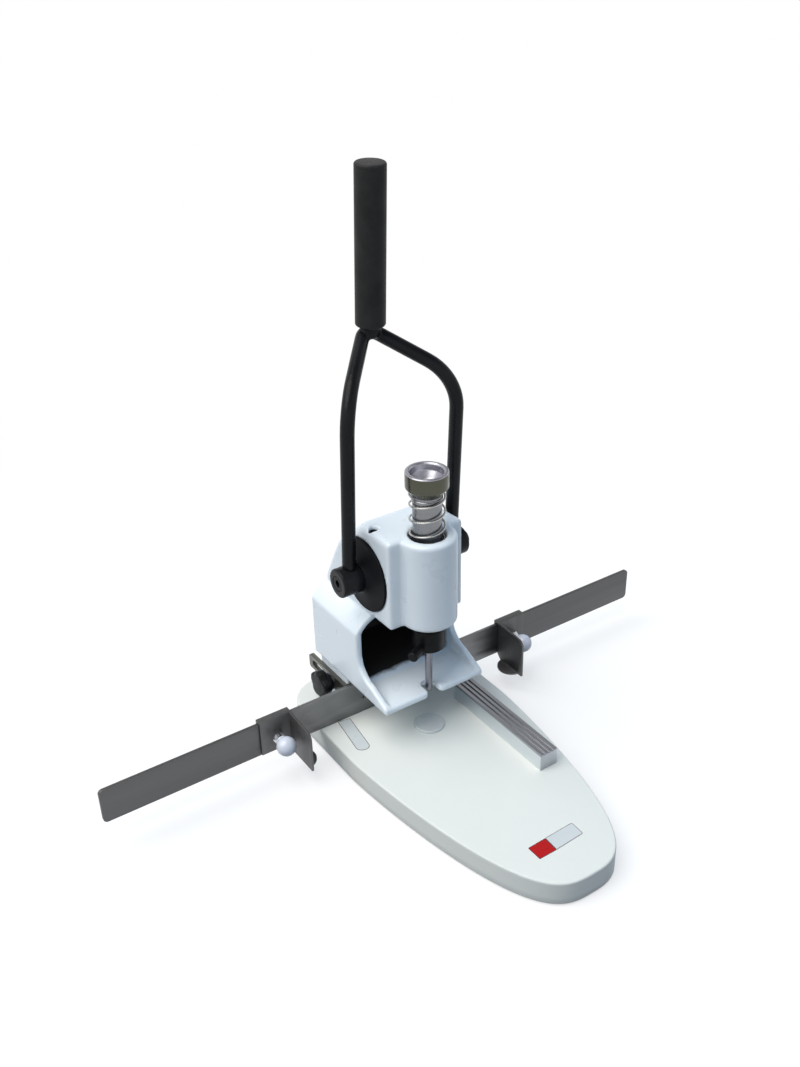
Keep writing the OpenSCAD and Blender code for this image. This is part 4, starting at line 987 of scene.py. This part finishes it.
class PUNCH_OT_stage(PunchOperator, bpy.types.Operator):
    """Pale floor, soft light and the camera"""
    bl_idname = "punch.stage"
    bl_label = "Studio"

    def execute(self, context):
        self.floor()
        self.world()
        self.sun("key", direction=(-0.5, 0.10, 0.86), softness=60, strength=3.0, tint=(1.0, 0.97, 0.92))
        self.camera()
        context.scene.view_settings.view_transform = "Standard"
        return {"FINISHED"}

    def sun(self, name, direction, softness, strength, tint):
        """A broad soft light from one direction, as wide as the softness in degrees."""
        data = bpy.data.lights.new(name, "SUN")
        data.angle = math.radians(softness)
        data.energy = strength
        data.color = tint
        obj = bpy.data.objects.new(name, data)
        bpy.context.scene.collection.objects.link(obj)
        obj.matrix_world = towards(direction, Vector(direction) * 2)

    def seen(self, tree):
        """1 for the rays that show a background: straight from the camera, in a gloss or through glass."""
        path = tree.nodes.new("ShaderNodeLightPath")
        value = path.outputs["Is Camera Ray"]
        for other in ("Is Glossy Ray", "Is Transmission Ray"):
            most = tree.nodes.new("ShaderNodeMath")
            most.operation = "MAXIMUM"
            tree.links.new(value, most.inputs[0])
            tree.links.new(path.outputs[other], most.inputs[1])
            value = most.outputs["Value"]
        return value

    def floor(self):
        """A round floor: white where it is seen, with the object's shadow, and paler still far out; a dull
        grey to the light that bounces off it."""
        radius, corners = 8, 96
        a = np.linspace(0, 2 * np.pi, corners, endpoint=False)
        ring = np.stack([radius * np.cos(a), radius * np.sin(a), 0 * a], -1)
        obj = add_object("floor", ring, [list(range(corners))])
        f = Finish("studio_floor", colours().floor, 0.9)
        f.vary_roughness(f.noise(8, 3), 0.88, 0.95)
        tree = f.tree
        output = next(n for n in tree.nodes if n.type == "OUTPUT_MATERIAL")
        white = f.new("ShaderNodeEmission")
        dull = f.new("ShaderNodeBsdfDiffuse")
        dull.inputs["Color"].default_value = (*colours().bounce, 1)
        distance = f.new("ShaderNodeVectorMath")
        distance.operation = "LENGTH"
        f.link(f.coords, distance.inputs[0])
        reach = f.new("ShaderNodeMapRange")
        reach.interpolation_type = "SMOOTHSTEP"
        f.link(distance.outputs["Value"], reach.inputs["Value"])
        for socket, value in (("From Min", 0.15), ("From Max", 0.9), ("To Min", 0.6), ("To Max", 1.0)):
            reach.inputs[socket].default_value = value
        shown, split = f.new("ShaderNodeMixShader"), f.new("ShaderNodeMixShader")
        f.link(reach.outputs["Result"], shown.inputs["Fac"])
        f.link(f.shader.outputs["BSDF"], shown.inputs[1])
        f.link(white.outputs["Emission"], shown.inputs[2])
        f.link(self.seen(tree), split.inputs["Fac"])
        f.link(dull.outputs["BSDF"], split.inputs[1])
        f.link(shown.outputs["Shader"], split.inputs[2])
        f.link(split.outputs["Shader"], output.inputs["Surface"])
        obj.data.materials.append(f.material)
        obj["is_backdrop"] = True

    def world(self):
        """Low blue-grey light for the object; a backdrop that is white up to half height and dims to the
        ceiling where the camera and glossy surfaces look past it."""
        world = bpy.data.worlds.new("studio")
        bpy.context.scene.world = world
        world.use_nodes = True
        tree = world.node_tree
        tree.nodes.clear()
        new = tree.nodes.new
        output, mix = new("ShaderNodeOutputWorld"), new("ShaderNodeMixShader")
        backdrop, soft = new("ShaderNodeBackground"), new("ShaderNodeBackground")
        coords, split, ramp = new("ShaderNodeTexCoord"), new("ShaderNodeSeparateXYZ"), new("ShaderNodeValToRGB")
        tree.links.new(coords.outputs["Generated"], split.inputs["Vector"])
        tree.links.new(split.outputs["Z"], ramp.inputs["Fac"])
        ramp.color_ramp.elements[0].position, ramp.color_ramp.elements[1].position = 0.45, 0.8
        ramp.color_ramp.elements[0].color, ramp.color_ramp.elements[1].color = (1, 1, 1, 1), (0.16, 0.17, 0.19, 1)
        tree.links.new(ramp.outputs["Color"], backdrop.inputs["Color"])
        soft.inputs["Color"].default_value = (0.70, 0.91, 1.18, 1)
        soft.inputs["Strength"].default_value = 0.46
        tree.links.new(self.seen(tree), mix.inputs["Fac"])
        tree.links.new(soft.outputs["Background"], mix.inputs[1])
        tree.links.new(backdrop.outputs["Background"], mix.inputs[2])
        tree.links.new(mix.outputs["Shader"], output.inputs["Surface"])

    def camera(self):
        """The photograph's camera: back vector from azimuth and elevation, then the roll about it."""
        azimuth, elevation, roll = map(math.radians, (-33.36, 29.91, -1.37))
        level = math.cos(elevation)
        back = Vector((math.sin(azimuth) * level, -math.cos(azimuth) * level, math.sin(elevation)))
        right = Vector((math.cos(azimuth), math.sin(azimuth), 0))
        up = back.cross(right)
        x = math.cos(roll) * right + math.sin(roll) * up
        y = -math.sin(roll) * right + math.cos(roll) * up
        target, distance = Vector((3.61, 46.36, 200.56)), 987.4
        focal_length, frame_width, sensor = 1146.77, 800, 36  # the first two in the photograph's pixels
        at = target * MM + back * distance * MM
        data = bpy.data.cameras.new("camera")
        data.sensor_fit = "HORIZONTAL"
        data.sensor_width = sensor
        data.lens = sensor * focal_length / frame_width
        data.clip_start, data.clip_end = 0.05, 30
        obj = bpy.data.objects.new("camera", data)
        bpy.context.scene.collection.objects.link(obj)
        obj.matrix_world = Matrix(((x.x, y.x, back.x, at.x), (x.y, y.y, back.y, at.y), (x.z, y.z, back.z, at.z),
                                   (0, 0, 0, 1)))
        bpy.context.scene.camera = obj


OPERATORS = (PUNCH_OT_base, PUNCH_OT_labels, PUNCH_OT_casting, PUNCH_OT_bearing_caps, PUNCH_OT_lever,
             PUNCH_OT_spindle, PUNCH_OT_back_stop, PUNCH_OT_knobs, PUNCH_OT_finishes, PUNCH_OT_stage)


class PUNCH_PT_panel(bpy.types.Panel):
    """Lists the pieces of the punch"""
    bl_idname = "PUNCH_PT_panel"
    bl_label = "Single hole punch"
    bl_space_type = "VIEW_3D"
    bl_region_type = "UI"
    bl_category = "Punch"

    def draw(self, context):
        layout = self.layout
        for operator in OPERATORS:
            layout.operator(operator.bl_idname)
        for group in (context.scene.punch_sizes, context.scene.punch_colours):
            for name in group.bl_rna.properties.keys():
                if name not in ("rna_type", "name"):
                    layout.prop(group, name)


CLASSES = (PunchSizes, PunchColours) + OPERATORS + (PUNCH_PT_panel,)


def register():
    for c in CLASSES:
        bpy.utils.register_class(c)
    bpy.types.Scene.punch_sizes = PointerProperty(type=PunchSizes)
    bpy.types.Scene.punch_colours = PointerProperty(type=PunchColours)


def unregister():
    del bpy.types.Scene.punch_colours
    del bpy.types.Scene.punch_sizes
    for c in reversed(CLASSES):
        bpy.utils.unregister_class(c)


def main():
    register()
    for operator in OPERATORS:
        group, name = operator.bl_idname.split(".")
        getattr(getattr(bpy.ops, group), name)()
    numbers = lambda box: [[float(v) for v in corner] for corner in box]
    {"cad": numbers(CAD_BOX), "visual": numbers(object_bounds())}


if __name__ == "__main__":
    main()
